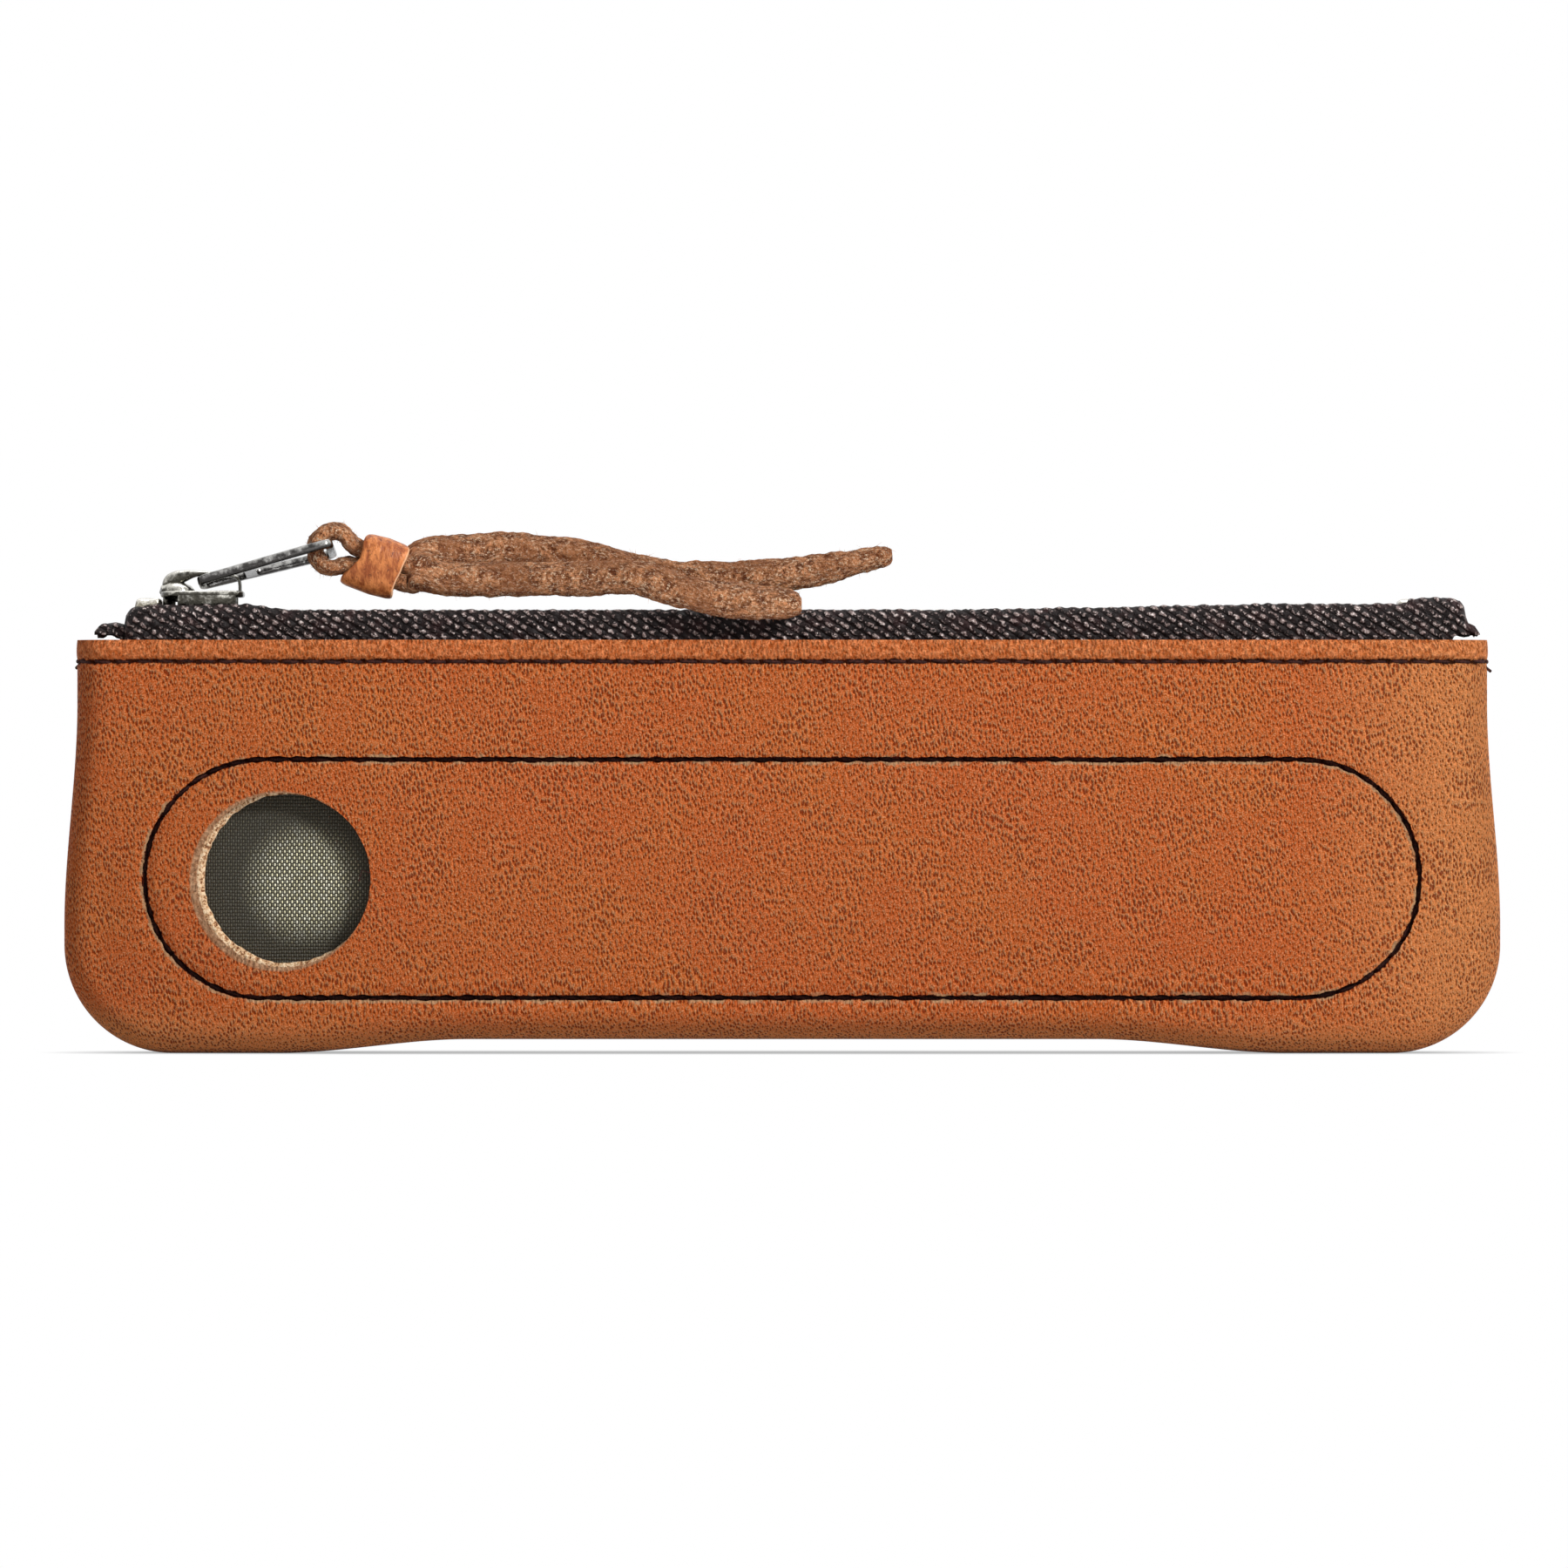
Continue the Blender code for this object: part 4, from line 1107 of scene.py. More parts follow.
# Places along the tape, with its bottom, its top and its inner edge there
tape_places = np.array([
    (-0.0985, tape_rim, 0.0602, 0.0020),
    (-0.0977, tape_rim, 0.0613, 0.0012),
    (-0.0955, tape_rim, 0.0617, 0.0008),
    (-0.0943, tape_rim, 0.0613, 0.0008),
    (-0.0940, tape_bottom, 0.0627, 0.0008),
    (-0.0932, tape_bottom, 0.0636, 0.0010),
    (-0.0920, tape_bottom, 0.0641, 0.0032),
    (-0.0770, tape_bottom, 0.0642, 0.0032),
    (-0.0700, tape_bottom, 0.0634, 0.0032),
    (0.0300, tape_bottom, 0.0635, 0.0032),
    (0.0700, tape_bottom, 0.0643, 0.0032),
    (0.0885, tape_bottom, 0.0643, 0.0032),
    (0.0900, tape_bottom, 0.0650, 0.0010),
    (0.0920, tape_bottom, 0.0652, 0.0008),
    (0.0958, tape_rim, 0.0652, 0.0008),
    (0.0972, tape_rim, 0.0648, 0.0008),
    (0.0978, tape_rim, 0.0636, 0.0008),
    (0.0981, tape_rim, 0.0617, 0.0008),
    (0.0992, tape_rim, 0.0612, 0.0012),
    (0.0999, tape_rim, 0.0601, 0.0020),
])


def herringbone(along, up, chance):
    """Ribs that slope down to the right, each broken into grains. Values run from -1 to 1."""
    across = (along * math.sin(rib_slope) + up * math.cos(rib_slope)) / rib_pitch
    down = (along * math.cos(rib_slope) - up * math.sin(rib_slope)) / grain_pitch
    rib = np.floor(across)
    shift = down + 0.5 * np.mod(rib, 2) + 0.35 * np.sin(rib * 2.3)
    grain = np.floor(shift)
    size = chance[np.mod(rib, chance.shape[0]).astype(int), np.mod(grain, chance.shape[1]).astype(int)]
    over = np.abs(np.sin(math.pi * (across - rib))) ** 0.7
    round_grain = np.abs(np.sin(math.pi * (shift - grain))) ** 0.28
    return over * round_grain * (0.45 + 0.75 * size) * 2 - 1


def tape_sheet(name, side, seed):
    """One tape: a wall, a rounded bend and a flat run to the chain, with its weave raised."""
    made, share_across, share_up = grid_object(name, tape_columns, tape_rows)
    first, last = tape_places[0, 0], tape_places[-1, 0]
    x = first + share_across * (last - first)
    bottom, top, inner = [np.interp(x, tape_places[:, 0], tape_places[:, k]) for k in (1, 2, 3)]
    top = top + ripples(x, 0 * x, (0.00012, 0.009, seed), (0.00010, 0.0022, seed + 1.0))
    into = np.minimum(x - tape_left_end, tape_right_end - x)
    fold = np.sqrt(np.clip(1 - np.clip(1 - into / tape_fold, 0, 1) ** 2, 0, 1))
    wall = tape_wall * np.where(into > 0, end_share + (1 - end_share) * fold, end_share)
    bend = np.minimum(tape_bend, 0.6 * (top - bottom))
    rise = top - bend - bottom
    turn = bend * math.pi / 2
    flat = np.clip(wall - bend - inner, 0.0001, None)
    walked = share_up * (rise + turn + flat)
    angle = np.clip((walked - rise) / bend, 0, math.pi / 2)
    over = np.clip(walked - rise - turn, 0, None)
    y = wall - bend + bend * np.cos(angle) - over
    z = bottom + np.minimum(walked, rise) + bend * np.sin(angle)
    z = z + (tape_level - z) * smooth(over / flat) * (over > 0) * (inner > 0.002)
    chance = np.random.default_rng(int(seed)).random((97, 89))
    coarse = smooth((coarse_end - x) / coarse_run)
    weave = herringbone(x, z, chance) * (1 - coarse)
    weave = weave + coarse * np.clip(2.4 * ripple(x, walked, 0.00105, seed + 2.0), -1, 1)
    weave = weave + 0.35 * ripple(x, walked, 0.0004, seed + 3.0)
    lift = rib_height * weave + 0.00010 * ripple(x, walked, 0.004, seed + 4.0)
    return lay_grid(made, side, x, y + lift * np.cos(angle), z + lift * np.sin(angle) * 0.4)


def hump(value, power):
    """A row of rounded humps with narrow gaps."""
    return abs((value * math.pi).math("SINE")).math("POWER", power)


tape_dark = (0.006, 0.003, 0.003)
# Painted sheen on the raised grains, and painted glints on them.
tape_lit_grain = (0.20, 0.145, 0.135)
tape_glint_colour = (0.70, 0.61, 0.58)
tape_worn = (0.075, 0.030, 0.030)
tape_material, tree, shader = new_material("herringbone_tape")
spot = object_place(tree)
x, y, z = split(spot)
glint_spots = noise_at(spot, 0.00035, 3.0, 0.7)
warped = (noise_at(spot, 0.0009, 2.0, 0.6) - 0.5) * 0.90
rib = (z * math.cos(rib_slope) + x * math.sin(rib_slope)) / rib_pitch
rib_number = rib.math("FLOOR")
grain = (x * math.cos(rib_slope) + z * -math.sin(rib_slope)) / grain_pitch
grain = grain + rib_number.math("FLOORED_MODULO", 2.0) * 0.5
grain = (rib_number * 2.3).math("SINE") * 0.35 + grain + warped
woven = hump(rib + warped * 0.5, 0.9) * hump(grain, 0.35)
woven = woven * ramp(noise_at(spot, 0.0008, 2.0, 0.6), 0.40, 0.60, 0.30, 1.0)
glint = ramp(glint_spots, 0.50, 0.60) * ramp(woven, 0.45, 0.85) * 0.90
# The yarn is near-black. Raised grains are painted paler as painted sheen, the gaps stay dark as painted
# shade, and bright specks on the grains are painted glints.
tone = mix(ramp(woven, 0.35, 0.85), tape_dark, tape_lit_grain)
tone = mix(glint, tone, tape_glint_colour)
tone = mix(ramp(noise_at(spot, 0.0030), 0.50, 0.72, 0.0, 0.25), tone, tape_worn)
set_inputs(shader, {
    "Base Color": tone, "Roughness": 0.50, "Specular IOR Level": 0.16,
    "Normal": bump(glint_spots * 0.3 + woven, 0.00035),
})

for name, side, node, seed in (
    ("front_tape", -1, "front_zip_tape", 50.0), ("back_tape", 1, "back_zip_tape", 60.0),
):
    tape = tape_sheet(name, side, seed)
    thicken(tape, tape_thickness)
    tape.data.materials.append(tape_material)
    tape.data.shade_smooth()
    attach(tape, "case")
    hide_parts(node)

# Zip teeth
# Cast metal teeth of a size 5 chain, clamped on a corded edge. The two rows lie between each other.
chain_level = 0.0627
chain_half_width = 0.0029
tooth_pitch = 0.0025
chain_start = -0.0864
chain_end = 0.0880
cord_radius = 0.00062
cord_points = 260
cord_pinch = 0.10

# Each row: place out from the middle, half width and half height of a tooth there
tooth_sections = np.array([
    (-0.00080, 0.00022, 0.00045),
    (-0.00066, 0.00048, 0.00064),
    (-0.00020, 0.00058, 0.00072),
    (0.00035, 0.00040, 0.00068),
    (0.00110, 0.00040, 0.00072),
    (0.00150, 0.00062, 0.00084),
    (0.00270, 0.00062, 0.00084),
    (0.00290, 0.00044, 0.00062),
])


def metal_finish(name, dark, pale, roughness, dents):
    """Nickel-plated metal with small dents. What faces up is painted brighter, as painted light from above,
    and cloudy tarnish darkens the rest.
    """
    material, tree, shader = new_material(name)
    spot = object_place(tree)
    cloudy = noise_at(spot, 0.0011, 3.0, 0.6)
    # Faces that point up are painted paler, as painted light from the lamps above, on top of the cloudy
    # tarnish.
    up = split(Value(tree.nodes.new("ShaderNodeTexCoord").outputs["Normal"]))[2]
    share = (cloudy - 0.5) * 1.6 + up
    rubbed = ramp(noise_at(spot, 0.0005, 2.0, 0.6), 0.3, 0.7, roughness * 0.7, roughness * 1.4)
    set_inputs(shader, {
        "Base Color": mix(ramp(share, 0.0, 0.8), dark, pale), "Metallic": 1.0, "Roughness": rubbed,
        "Normal": bump(cloudy, dents),
    })
    return material


def upright(count):
    return np.tile([0.0, 0.0, 1.0], (count, 1))


def tooth_row(name, side, shift):
    count = int((chain_end - chain_start - shift) / tooth_pitch)
    middles = chain_start + shift + tooth_pitch * (np.arange(count) + 0.5)
    away, half_width, half_height = tooth_sections.T
    bodies = []
    for x in middles:
        points = np.stack([0 * away + x, side * away, 0 * away + chain_level], axis=1)
        bodies.append(sweep(points, upright(len(away)), half_width, half_height, 8, 3.4))
    return swept_object(name, bodies)


def cord_object(name, side):
    """The tape's corded edge, pinched in where the teeth are clamped on it."""
    x = np.linspace(chain_start, chain_end, cord_points)
    points = np.stack([x, 0 * x + side * (chain_half_width - cord_radius), 0 * x + chain_level], axis=1)
    pinch = cord_radius * (1 - cord_pinch * np.cos(2 * math.pi * (x - chain_start) / tooth_pitch))
    return swept_object(name, [sweep(points, upright(cord_points), pinch, pinch, 8)])


chain_metal = metal_finish("chain_nickel", (0.10, 0.09, 0.08), (0.50, 0.47, 0.42), 0.26, 0.00006)
for word, side, shift in (("front", -1, 0.0), ("back", 1, tooth_pitch / 2)):
    row = tooth_row(word + "_teeth", side, shift)
    row.data.materials.append(chain_metal)
    cord = cord_object(word + "_cord", side)
    cord.data.materials.append(tape_material)
    for made, slot in ((row, "zip_metal"), (cord, "zip_tape")):
        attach(made, "case")
        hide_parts(word + "_zip_teeth")

# Stops
# Pinched metal clamps: one on each tape just left of the closed slider, and one over both at the far end.
stop_low = 0.0622
stop_high = 0.0651
stop_rounding = 0.0006
dent_size = 0.0014
dent_depth = 0.00028


def press_dents(made, dent):
    """Moves each vertex along its normal by what dent says of its place."""
    places = [vertex.co.copy() for vertex in made.data.vertices]
    normals = [vertex.normal.copy() for vertex in made.data.vertices]
    for vertex, place, normal in zip(made.data.vertices, places, normals):
        vertex.co = place + normal * dent(place)


def dented_block(name, low, high, seed):
    """A pinched block with rounded edges and small dents."""
    bpy.ops.mesh.primitive_cube_add(size=1, location=(Vector(low) + Vector(high)) / 2)
    made = bpy.context.object
    made.name = name
    made.scale = Vector(high) - Vector(low)
    bpy.ops.object.transform_apply(location=True, rotation=False, scale=True)
    apply_modifier(made, "BEVEL", width=stop_rounding, segments=4)
    apply_modifier(made, "SUBSURF", subdivision_type="SIMPLE", levels=2)
    press_dents(made, lambda place: dent_depth * noise.noise(place / dent_size + Vector((seed, 0, 0))))
    made.data.shade_smooth()
    return made


stop_metal = metal_finish("stop_nickel", (0.20, 0.18, 0.14), (0.80, 0.77, 0.70), 0.24, 0.00025)
for name, low, high, seed in (
    ("front_top_stop", (-0.0926, -0.0047, stop_low), (-0.0890, -0.00015, stop_high), 1.0),
    ("back_top_stop", (-0.0926, 0.00015, stop_low), (-0.0890, 0.0047, stop_high), 4.0),
    ("bottom_stop", (0.0883, -0.0046, stop_low), (0.0912, 0.0046, stop_high - 0.0002), 7.0),
):
    clamp = dented_block(name + "_clamp", low, high, seed)
    clamp.data.materials.append(stop_metal)
    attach(clamp, "case")
    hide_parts(name)

# Slider
# Cast and nickel-plated: two plates joined at the nose, side rails that hold the chain, and a bridge whose
# heavy round nose stands over the plate's own. The pull hangs on the bridge.
slider_low, slider_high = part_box("slider_body")
slider_left = slider_low.x
slider_right = slider_high.x
nose_half = slider_high.y
tail_narrower = 0.0003
plate_thickness = 0.00095
plate_top = 0.0662
plate_under = plate_top - plate_thickness
lower_top = slider_low.z + plate_thickness
rail_start = slider_left + 0.0026
rail_end = slider_right - 0.0010
rail_thickness = 0.0008
post_bite = 0.0003


def round_edges(made, width, segments):
    limit = math.radians(28)
    apply_modifier(made, "BEVEL", width=width, segments=segments, limit_method="ANGLE", angle_limit=limit)


def plate_from_outline(name, outline, low, high):
    """A plate with sharp edges, from its outline seen from above."""
    count = len(outline)
    vertices = [(x, y, level) for level in (low, high) for x, y in outline]
    faces = [tuple(range(count - 1, -1, -1)), tuple(range(count, 2 * count))]
    faces += [(i, (i + 1) % count, count + (i + 1) % count, count + i) for i in range(count)]
    return mesh_object(name, vertices, faces)


def slider_outline(steps=10):
    """The slider from above: a wide round nose that narrows towards the tail."""
    length = nose_half * 0.62
    turns = np.linspace(math.pi / 2, math.pi * 1.5, 2 * steps + 1)
    nose = [(slider_left + length * (1 + math.cos(t)), nose_half * math.sin(t)) for t in turns]
    tail = nose_half - tail_narrower
    end = slider_right
    return nose + [(end - 0.0008, -tail), (end, -tail + 0.0010), (end, tail - 0.0010), (end - 0.0008, tail)]


def rail_outline(side):
    outer = nose_half
    return [
        (rail_start, side * outer), (rail_end, side * (outer - 0.0003)),
        (rail_end, side * (outer - 0.0003 - rail_thickness)), (rail_start, side * (outer - rail_thickness)),
    ]


def join_objects(name, made):
    """Joins objects into the first one."""
    bpy.ops.object.select_all(action="DESELECT")
    for each in made:
        each.select_set(True)
    bpy.context.view_layer.objects.active = made[0]
    bpy.ops.object.join()
    made[0].name = name
    return made[0]


post_outline = [
    (slider_left + x, y) for x, y in ((0.0003, 0.0), (0.0009, 0.0009), (0.0022, 0.0), (0.0009, -0.0009))
]

# Each row: name, outline, bottom, top, rounding of the edges and its steps
plates = [
    ("upper_plate", slider_outline(), plate_under, plate_top, 0.00032, 3),
    ("lower_plate", slider_outline(), slider_low.z, lower_top, 0.00025, 3),
]
for side in (-1, 1):
    plates.append(("rail", rail_outline(side), plate_under - 0.00140, plate_top - 0.00036, 0.00018, 2))
    plates.append(("rail", rail_outline(side), lower_top - 0.0004, lower_top + 0.00095, 0.00018, 2))
plates.append(("post", post_outline, lower_top - post_bite, plate_under + post_bite, 0.0001, 2))
pieces = []
for name, outline, low, high, rounding, steps in plates:
    pieces.append(plate_from_outline(name, outline, low, high))
    round_edges(pieces[-1], rounding, steps)

# The swelling of the plate's nose. Each row: place from the left end, height, half width, half height
nose_rows = np.array([
    (0.0001, 0.0656, 0.0009, 0.00050),
    (0.0005, 0.0659, 0.0021, 0.00115),
    (0.0014, 0.0661, 0.0028, 0.00150),
    (0.0028, 0.0661, 0.0029, 0.00150),
    (0.0042, 0.0659, 0.0023, 0.00105),
    (0.0052, 0.0656, 0.0012, 0.00030),
])
x, z, half_width, half_height = nose_rows.T
nose_line = np.stack([slider_left + x, 0 * x, z], axis=1)
nose = sweep(nose_line, upright(len(x)), half_width, half_height, 20, 2.2)
pieces.append(swept_object("nose", [nose]))

# The bridge, from the nose over the pull's near bar to its thin post.
# Each row: place along, height, way out along and up, half width and half height in millimetres
bridge_rows = np.array([
    (-0.0882, 0.06580, -1.0, 0.0, 1.20, 0.60),
    (-0.0882, 0.06680, -1.0, 0.2, 1.25, 0.80),
    (-0.0878, 0.06760, -0.9, 0.6, 1.30, 1.00),
    (-0.0870, 0.06800, -0.5, 1.0, 1.30, 1.05),
    (-0.0860, 0.06828, -0.2, 1.0, 1.30, 0.92),
    (-0.0844, 0.06865, 0.0, 1.0, 1.30, 0.55),
    (-0.0825, 0.06868, 0.0, 1.0, 1.30, 0.34),
    (-0.0803, 0.06855, 0.1, 1.0, 1.30, 0.33),
    (-0.0788, 0.06835, 0.5, 1.0, 1.30, 0.30),
    (-0.0780, 0.06785, 1.0, 0.5, 1.25, 0.26),
    (-0.0778, 0.06700, 1.0, 0.0, 1.25, 0.25),
    (-0.0778, 0.06590, 1.0, 0.0, 1.25, 0.25),
])
millimetre = 0.001


def finer_line(points, steps):
    """The same route through more points, as a smooth curve."""
    points = np.asarray(points, dtype=float)
    fine = []
    for number in range(len(points) - 1):
        a, b, c, d = [points[min(max(number + k, 0), len(points) - 1)] for k in (-1, 0, 1, 2)]
        for step in range(steps):
            t = step / steps
            curve = (c - a) * t + (a * 2 - b * 5 + c * 4 - d) * t**2 + (b * 3 - a - c * 3 + d) * t**3
            fine.append(b + curve / 2)
    fine.append(points[-1])
    return np.array(fine)


x, z, out_x, out_z, half_width, half_height = finer_line(bridge_rows, 4).T
bridge_line = np.stack([x, 0 * x, z], axis=1)
bridge_out = np.stack([out_x, 0 * x, out_z], axis=1)
bridge = sweep(bridge_line, bridge_out, half_width * millimetre, half_height * millimetre, 20, 3.2)
pieces.append(swept_object("bridge", [bridge]))
slider = join_objects("slider", pieces)
smooth_edges(slider, 38)
slider_metal = metal_finish("slider_nickel", (0.045, 0.042, 0.034), (0.66, 0.64, 0.58), 0.20, 0.00016)
slider.data.materials.append(slider_metal)
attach(slider, "slider")
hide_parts("slider_body")

# Pull frame
# A flat die-cast frame: a small window that hangs on the bridge, a web, and a long window whose far bar
# carries the strap. Its long edges are chamfered and it leans, near side up.
pull_length = 0.0190
pull_near_half = 0.0022
pull_far_half = 0.0042
bar_half = 0.0006
web_start = 0.0062
web_end = 0.0080
pull_corner = 0.0010
pull_chamfer = 0.00030
pull_tilt = math.radians(14.8)
pull_roll = math.radians(10.0)
pull_pivot = next(Vector(joint["pos_m"]) for joint in frame["joints"] if joint["name"] == "pull_hinge")


def pull_half(along):
    return pull_near_half + (pull_far_half - pull_near_half) * along / pull_length


def pull_outline(start, end, inset, steps=4):
    """A tapered outline with round corners between two places along the frame."""
    corner = pull_corner - inset * 0.7
    near = pull_half(start) - inset
    far = pull_half(end) - inset
    low = start + inset
    high = end - inset
    turn = np.linspace(0, math.pi / 2, steps + 1)
    side = [(low + corner * (1 - math.sin(t)), near - corner * (1 - math.cos(t))) for t in turn[::-1]]
    side += [(high - corner * (1 - math.sin(t)), far - corner * (1 - math.cos(t))) for t in turn]
    return side + [(x, -y) for x, y in reversed(side)]


pull_outside = pull_outline(0.0, pull_length, -bar_half)
pull = plate_from_outline("pull", pull_outside, -bar_half * 1.05, bar_half * 1.05)
for start, end in ((0.0, web_start + bar_half), (web_end - bar_half, pull_length)):
    window = plate_from_outline("window", pull_outline(start, end, bar_half), -0.002, 0.002)
    apply_modifier(pull, "BOOLEAN", operation="DIFFERENCE", solver="EXACT", object=window)
    bpy.data.objects.remove(window)
round_edges(pull, pull_chamfer, 2)
lie = Matrix.Rotation(-pull_tilt, 4, "Y") @ Matrix.Rotation(-pull_roll, 4, "X")
pull.data.transform(Matrix.Translation(pull_pivot) @ lie)
smooth_edges(pull, 30)
pull_metal = metal_finish("pull_gunmetal", (0.050, 0.047, 0.045), (0.55, 0.54, 0.52), 0.16, 0.00008)
pull.data.materials.append(pull_metal)
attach(pull, "pull")
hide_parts("pull_frame")

# Strap
# One strip of brown split leather, rough side out. It is folded round the pull's far bar, goes double
# through the keeper, and ends in two loose tails.
strap_width = 0.0050
strap_thickness = 0.0022
strap_sides = 40
loop_radius = 0.00265
loop_turns = (70, 105, 140, 180, 220, 255, 290)
bar_room = 0.0005
fold_gap = 0.0003
strap_slope = math.radians(-18.0)
keeper_distance = 0.0075
keeper_length = 0.0056
keeper_lead = 0.0012
rear_tail_length = 0.0690
front_tail_length = 0.0560
rest_height = 0.06775
front_way_out = 0.00824
far_bar = pull_pivot + lie.to_3x3() @ Vector((pull_length, 0.0, 0.0))
ahead = Vector((math.cos(strap_slope), 0.0, math.sin(strap_slope)))
upward = Vector((-math.sin(strap_slope), 0.0, math.cos(strap_slope)))
loop_centre = far_bar + ahead * (loop_radius - strap_thickness / 2 - bar_half - bar_room)
keeper_centre = loop_centre + ahead * keeper_distance

# Each row: share of the tail's length, rise in strap widths, share of the way out, turn in degrees
rear_tail_shares = [
    (0.02, 0.72, 0.04, 38),
    (0.08, 0.80, 0.12, 68),
    (0.20, 0.88, 0.17, 80),
    (0.34, 0.70, 0.18, 80),
    (0.45, 0.32, 0.18, 80),
    (0.55, 0.08, 0.18, 80),
    (0.68, 0.06, 0.18, 78),
    (0.80, 0.20, 0.18, 74),
    (0.91, 0.48, 0.18, 72),
    (1.00, 0.72, 0.18, 70),
]
front_tail_shares = [
    (0.02, 0.12, -0.10, 38),
    (0.10, 0.04, -0.20, 68),
    (0.26, 0.02, -0.28, 80),
    (0.45, 0.04, -0.50, 80),
    (0.58, 0.05, -0.78, 82),
    (0.70, -0.36, -1.04, 82),
    (0.84, -0.62, -1.07, 80),
    (1.00, -0.72, -1.07, 78),
]


def tail_rows(length, shares):
    start = keeper_centre.x + keeper_length / 2 + keeper_lead
    return [
        (start + along * length, out * front_way_out, rest_height + rise * strap_width, math.radians(turn))
        for along, rise, out, turn in shares
    ]


def strap_rows():
    """From the end of the rear tail, round the loop, to the end of the front tail."""
    half = keeper_length / 2 + keeper_lead
    offset = (strap_thickness + fold_gap) / 2
    rows = tail_rows(rear_tail_length, rear_tail_shares)[::-1]
    rows += [(*(keeper_centre + upward * offset + ahead * way), 0.0) for way in (half, -half)]
    for turn in map(math.radians, loop_turns):
        away = ahead * math.cos(turn) + upward * math.sin(turn)
        rows.append((*(loop_centre + away * loop_radius), 0.0))
    rows += [(*(keeper_centre - upward * offset + ahead * way), 0.0) for way in (-half, half)]
    return rows + tail_rows(front_tail_length, front_tail_shares)


def shag(place):
    """How far the rough skin stands out at a place."""
    return noise.noise(place / 0.0024) * 0.00024 + noise.noise(place / 0.0008) * 0.00016


def uneven(walked, size, seed):
    """Smooth noise between -1 and 1 along the strap."""
    return np.array([noise.noise((place / size, seed, 0.0)) for place in walked])


rows = finer_line(strap_rows(), 12)
route = rows[:, :3]
turn = rows[:, 3:4]
along = unit(np.gradient(route, axis=0))
level = unit(np.array([0.0, 1.0, 0.0]) - along * along[:, 1:2])
other = np.cross(along, level)
sense = np.where(other[:, 2:3] >= 0, 1.0, -1.0)
wide = level * np.cos(turn) + other * np.sin(turn) * sense
flat = np.cross(along, wide)
walked = walked_along(route)
to_go = walked[-1] - walked
end_shape = np.sqrt(1 - (1 - np.clip(np.minimum(walked, to_go) / 0.0024, 0.02, 1)) ** 2)
blunt = 0.35 + 0.65 * end_shape
rear_taper = 0.62 + 0.38 * smooth(walked / 0.016)
front_taper = 0.85 + 0.15 * smooth(to_go / 0.008)
from_keeper = np.abs(route[:, 0] - keeper_centre.x - keeper_length / 2 - 0.004)
swell = 1 + 0.35 * np.exp(-((from_keeper / 0.006) ** 2)) * (route[:, 0] > keeper_centre.x)
half_width = strap_width / 2 * (1 + 0.07 * uneven(walked, 0.006, 2.0)) * blunt * rear_taper * front_taper
half_height = strap_thickness / 2 * (1.08 + 0.10 * uneven(walked, 0.004, 7.0)) * blunt * swell
strap = swept_object("strap", [sweep(route, flat, half_width, half_height, strap_sides, 2.7)])

# The skin's pattern follows the strip, so each vertex keeps its place on the strip laid out straight
section = np.linspace(0, 2 * math.pi, strap_sides, endpoint=False)
lay = np.stack([
    np.repeat(walked * 0.62, strap_sides),
    np.outer(half_width, np.cos(section)).ravel(),
    np.outer(half_height, np.sin(section)).ravel(),
], axis=1)
strap.data.attributes.new("lay", "FLOAT_VECTOR", "POINT").data.foreach_set("vector", lay.ravel())
apply_modifier(strap, "SUBSURF", subdivision_type="SIMPLE", levels=1)
press_dents(strap, shag)

suede_dark = (0.17, 0.042, 0.011)
suede_pale = (0.86, 0.37, 0.16)
suede_hair = (1.0, 0.74, 0.50)
suede_gap = (0.060, 0.012, 0.003)
suede_worn = (0.33, 0.110, 0.038)
suede_material, tree, shader = new_material("suede")
spot = Value(add_node(tree, "ShaderNodeAttribute", attribute_name="lay").outputs["Vector"])
tufts = noise_at(spot, 0.0010, 5.0, 0.78)
hairs = noise_at(spot, 0.00030, 3.0, 0.78)
tone = mix(ramp(tufts, 0.36, 0.66), suede_dark, suede_pale)
tone = mix(ramp(hairs, 0.53, 0.63, 0.0, 0.85), tone, suede_hair)
tone = mix(ramp(hairs, 0.45, 0.36, 0.0, 0.80), tone, suede_gap)
tone = mix(ramp(noise_at(spot, 0.0040), 0.42, 0.70, 0.0, 0.50), tone, suede_worn)
set_inputs(shader, {
    "Base Color": tone, "Roughness": 0.95, "Specular IOR Level": 0.10, "Sheen Weight": 0.05,
    "Sheen Roughness": 0.4, "Normal": bump(hairs * 0.6 + tufts, 0.00190),
})
strap.data.materials.append(suede_material)
strap.data.shade_smooth()
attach(strap, "strap")
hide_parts("pull_strap")

# Loose fibres that stand out of the strap's skin
fibre_count = 900
fibre_half = 0.000028
chance = np.random.default_rng(23)
fibres = []
places = [v.co for v in strap.data.vertices]
normals = [v.normal for v in strap.data.vertices]
for number in chance.integers(0, len(places), fibre_count):
    way = unit(np.array(normals[number]) + chance.normal(0, 0.55, 3))
    bend = chance.normal(0, 0.00025, 3)
    length = chance.uniform(0.00018, 0.00055)
    share = np.linspace(-0.2, 1, 5)[:, None]
    line = np.array(places[number]) + way * length * share + bend * share**2
    side = np.tile(np.cross(way, [0.3, 0.5, 0.8]), (5, 1))
    thin = fibre_half * (1.1 - share[:, 0])
    fibres.append(sweep(line, side, thin, thin, 3))
fuzz = swept_object("strap_fuzz", fibres)
fuzz.data.materials.append(suede_material)
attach(fuzz, "strap")

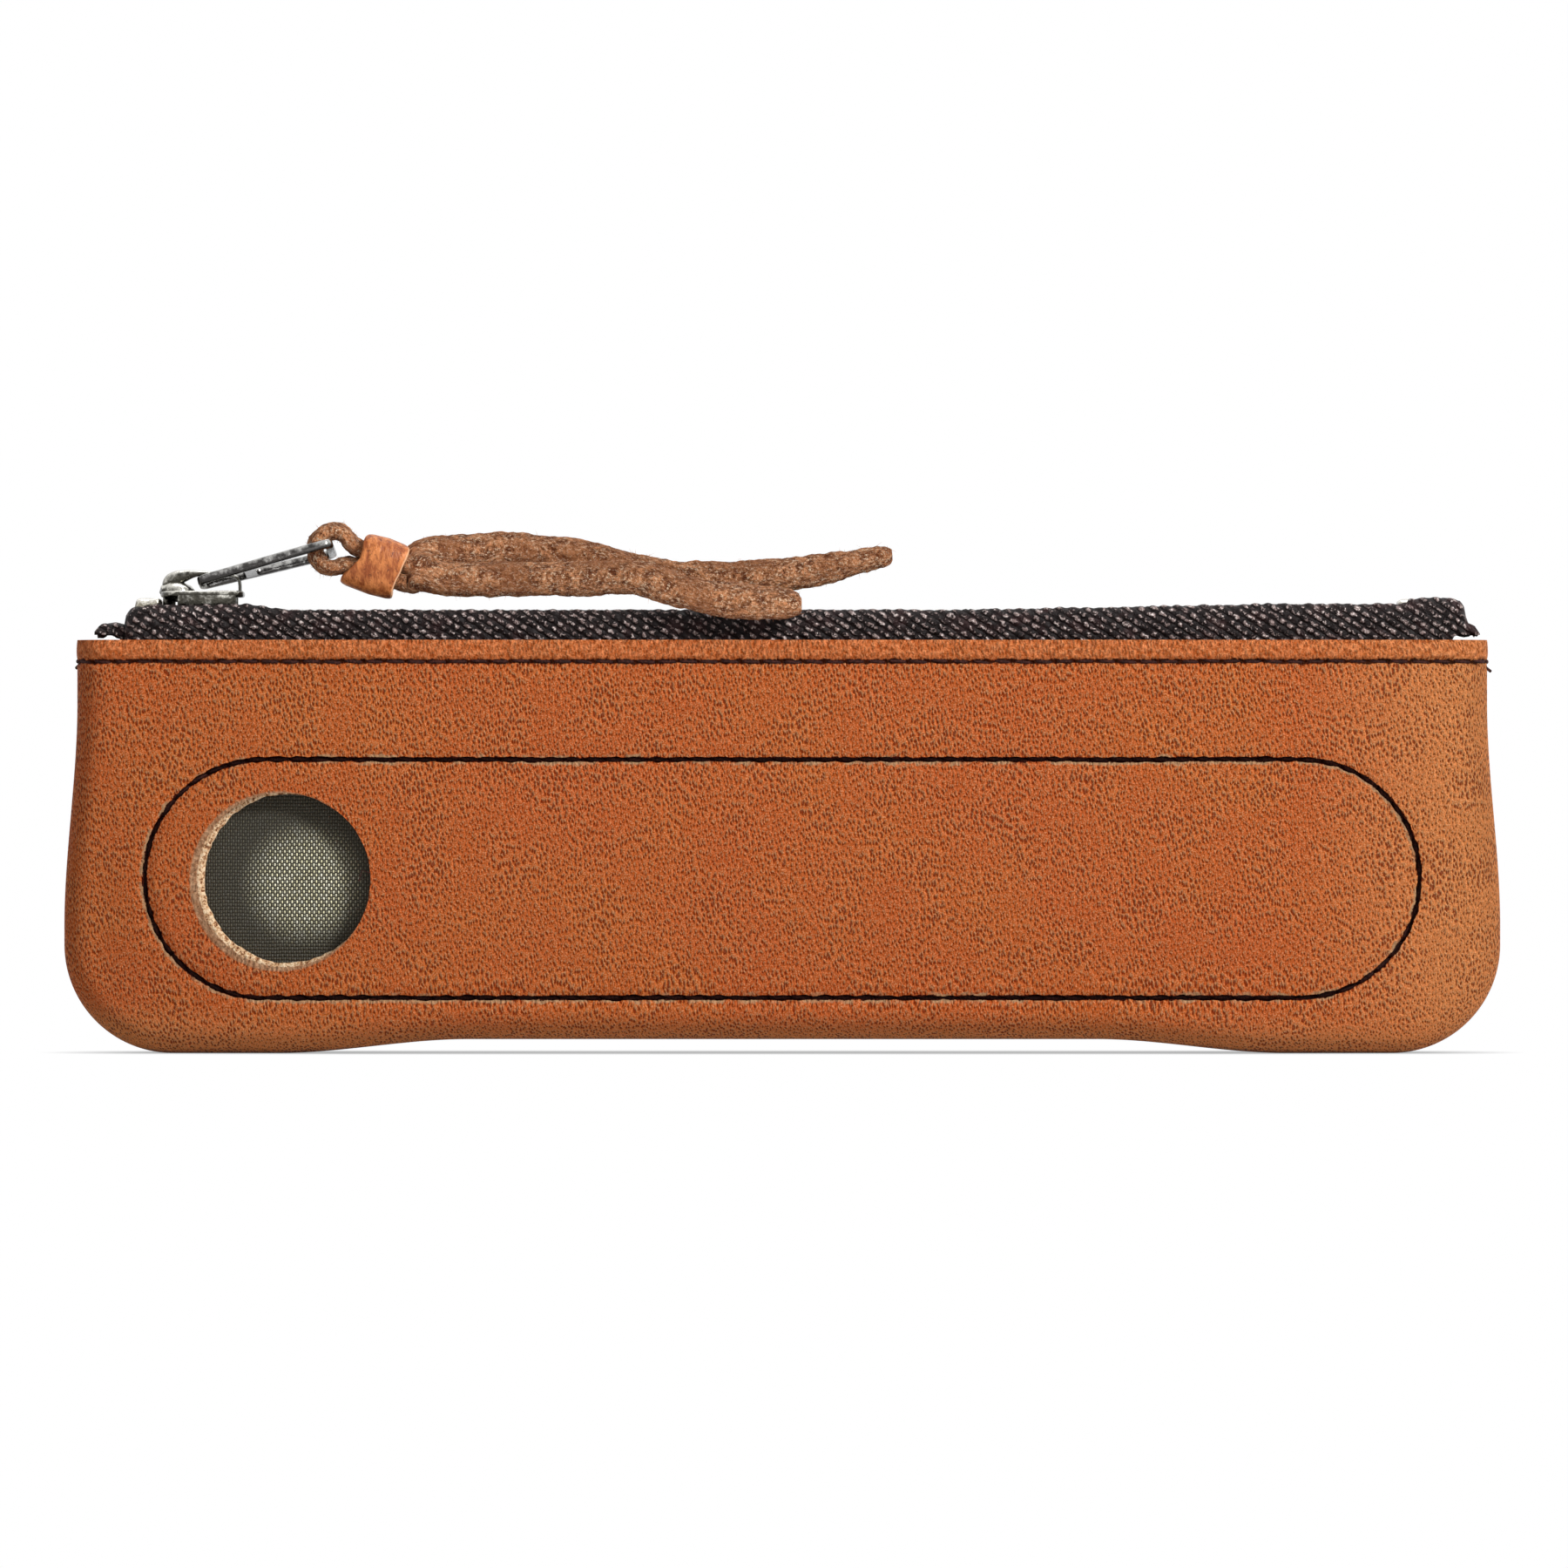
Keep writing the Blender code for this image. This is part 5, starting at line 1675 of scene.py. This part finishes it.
# Keeper
# A smooth leather band glued round both runs of the strap, with pale cut edges.
keeper_wall = 0.00055
keeper_room = 0.0003
keeper_wide = strap_width / 2 + keeper_room
keeper_high = strap_thickness + fold_gap / 2 + keeper_room
keeper_swell = 0.00030
band_turns = 72
edge_turns = 24
band = np.linspace(0, 2 * math.pi, band_turns, endpoint=False)
ring_y = squared_off(np.cos(band), 0.55) * (keeper_wide + keeper_wall)
ring_up = squared_off(np.sin(band), 0.62) * (keeper_high + keeper_wall)
edge = np.linspace(0, 2 * math.pi, edge_turns, endpoint=False)
edge_along = squared_off(np.cos(edge), 0.25) * keeper_length / 2
edge_out = squared_off(np.sin(edge), 0.5) * keeper_wall
vertices = []
cut_edge = []
for y, up, turn in zip(ring_y, ring_up, band):
    away = Vector((0.0, math.cos(turn), 0.0)) + upward * math.sin(turn)
    lower = np.clip(-up / keeper_high, 0, 1)
    for way, out in zip(edge_along, edge_out):
        swell = keeper_swell * math.cos(math.pi * way / keeper_length)
        longer = way * 1.15 - 0.0003 - 0.0011 * lower * (way < 0) - 0.0004 * lower
        bend = 0.00030 * math.sin(3 * turn + 0.8) * way / keeper_length
        vertices.append(
            keeper_centre + ahead * (longer + bend) + Vector((0.0, y, 0.0))
            + upward * (up * (1 + 0.16 * lower)) + away * (out + swell)
        )
        cut_edge.append(1.0 if way > keeper_length * 0.46 else 0.0)
faces = []
for i in range(band_turns):
    here = i * edge_turns
    there = (i + 1) % band_turns * edge_turns
    for k in range(edge_turns):
        m = (k + 1) % edge_turns
        faces.append((here + k, here + m, there + m, there + k))
keeper = mesh_object("keeper", vertices, faces)
keeper.data.shade_smooth()
keeper.data.attributes.new("cut_edge", "FLOAT", "POINT").data.foreach_set("value", cut_edge)
keeper_dark = (0.24, 0.052, 0.009)
keeper_pale = (0.60, 0.205, 0.058)
keeper_speck = (0.10, 0.020, 0.004)
keeper_edge = (0.80, 0.48, 0.28)
material, tree, shader = new_material("keeper_hide")
spot = object_place(tree)
creases = noise_at(mapped(spot, (0.0, strap_slope, 0.0), (1.0, 1.0, 0.35)), 0.0009, 4.0, 0.65)
tone = mix(ramp(creases, 0.34, 0.68), keeper_dark, keeper_pale)
tone = mix(ramp(noise_at(spot, 0.00035), 0.40, 0.28, 0.0, 0.80), tone, keeper_speck)
cut = Value(add_node(tree, "ShaderNodeAttribute", attribute_name="cut_edge").outputs["Fac"])
set_inputs(shader, {
    "Base Color": mix(cut * 0.75, tone, keeper_edge), "Roughness": 0.42, "Specular IOR Level": 0.30,
    "Normal": bump(creases, 0.00030),
})
keeper.data.materials.append(material)
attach(keeper, "strap")
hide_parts("strap_keeper")
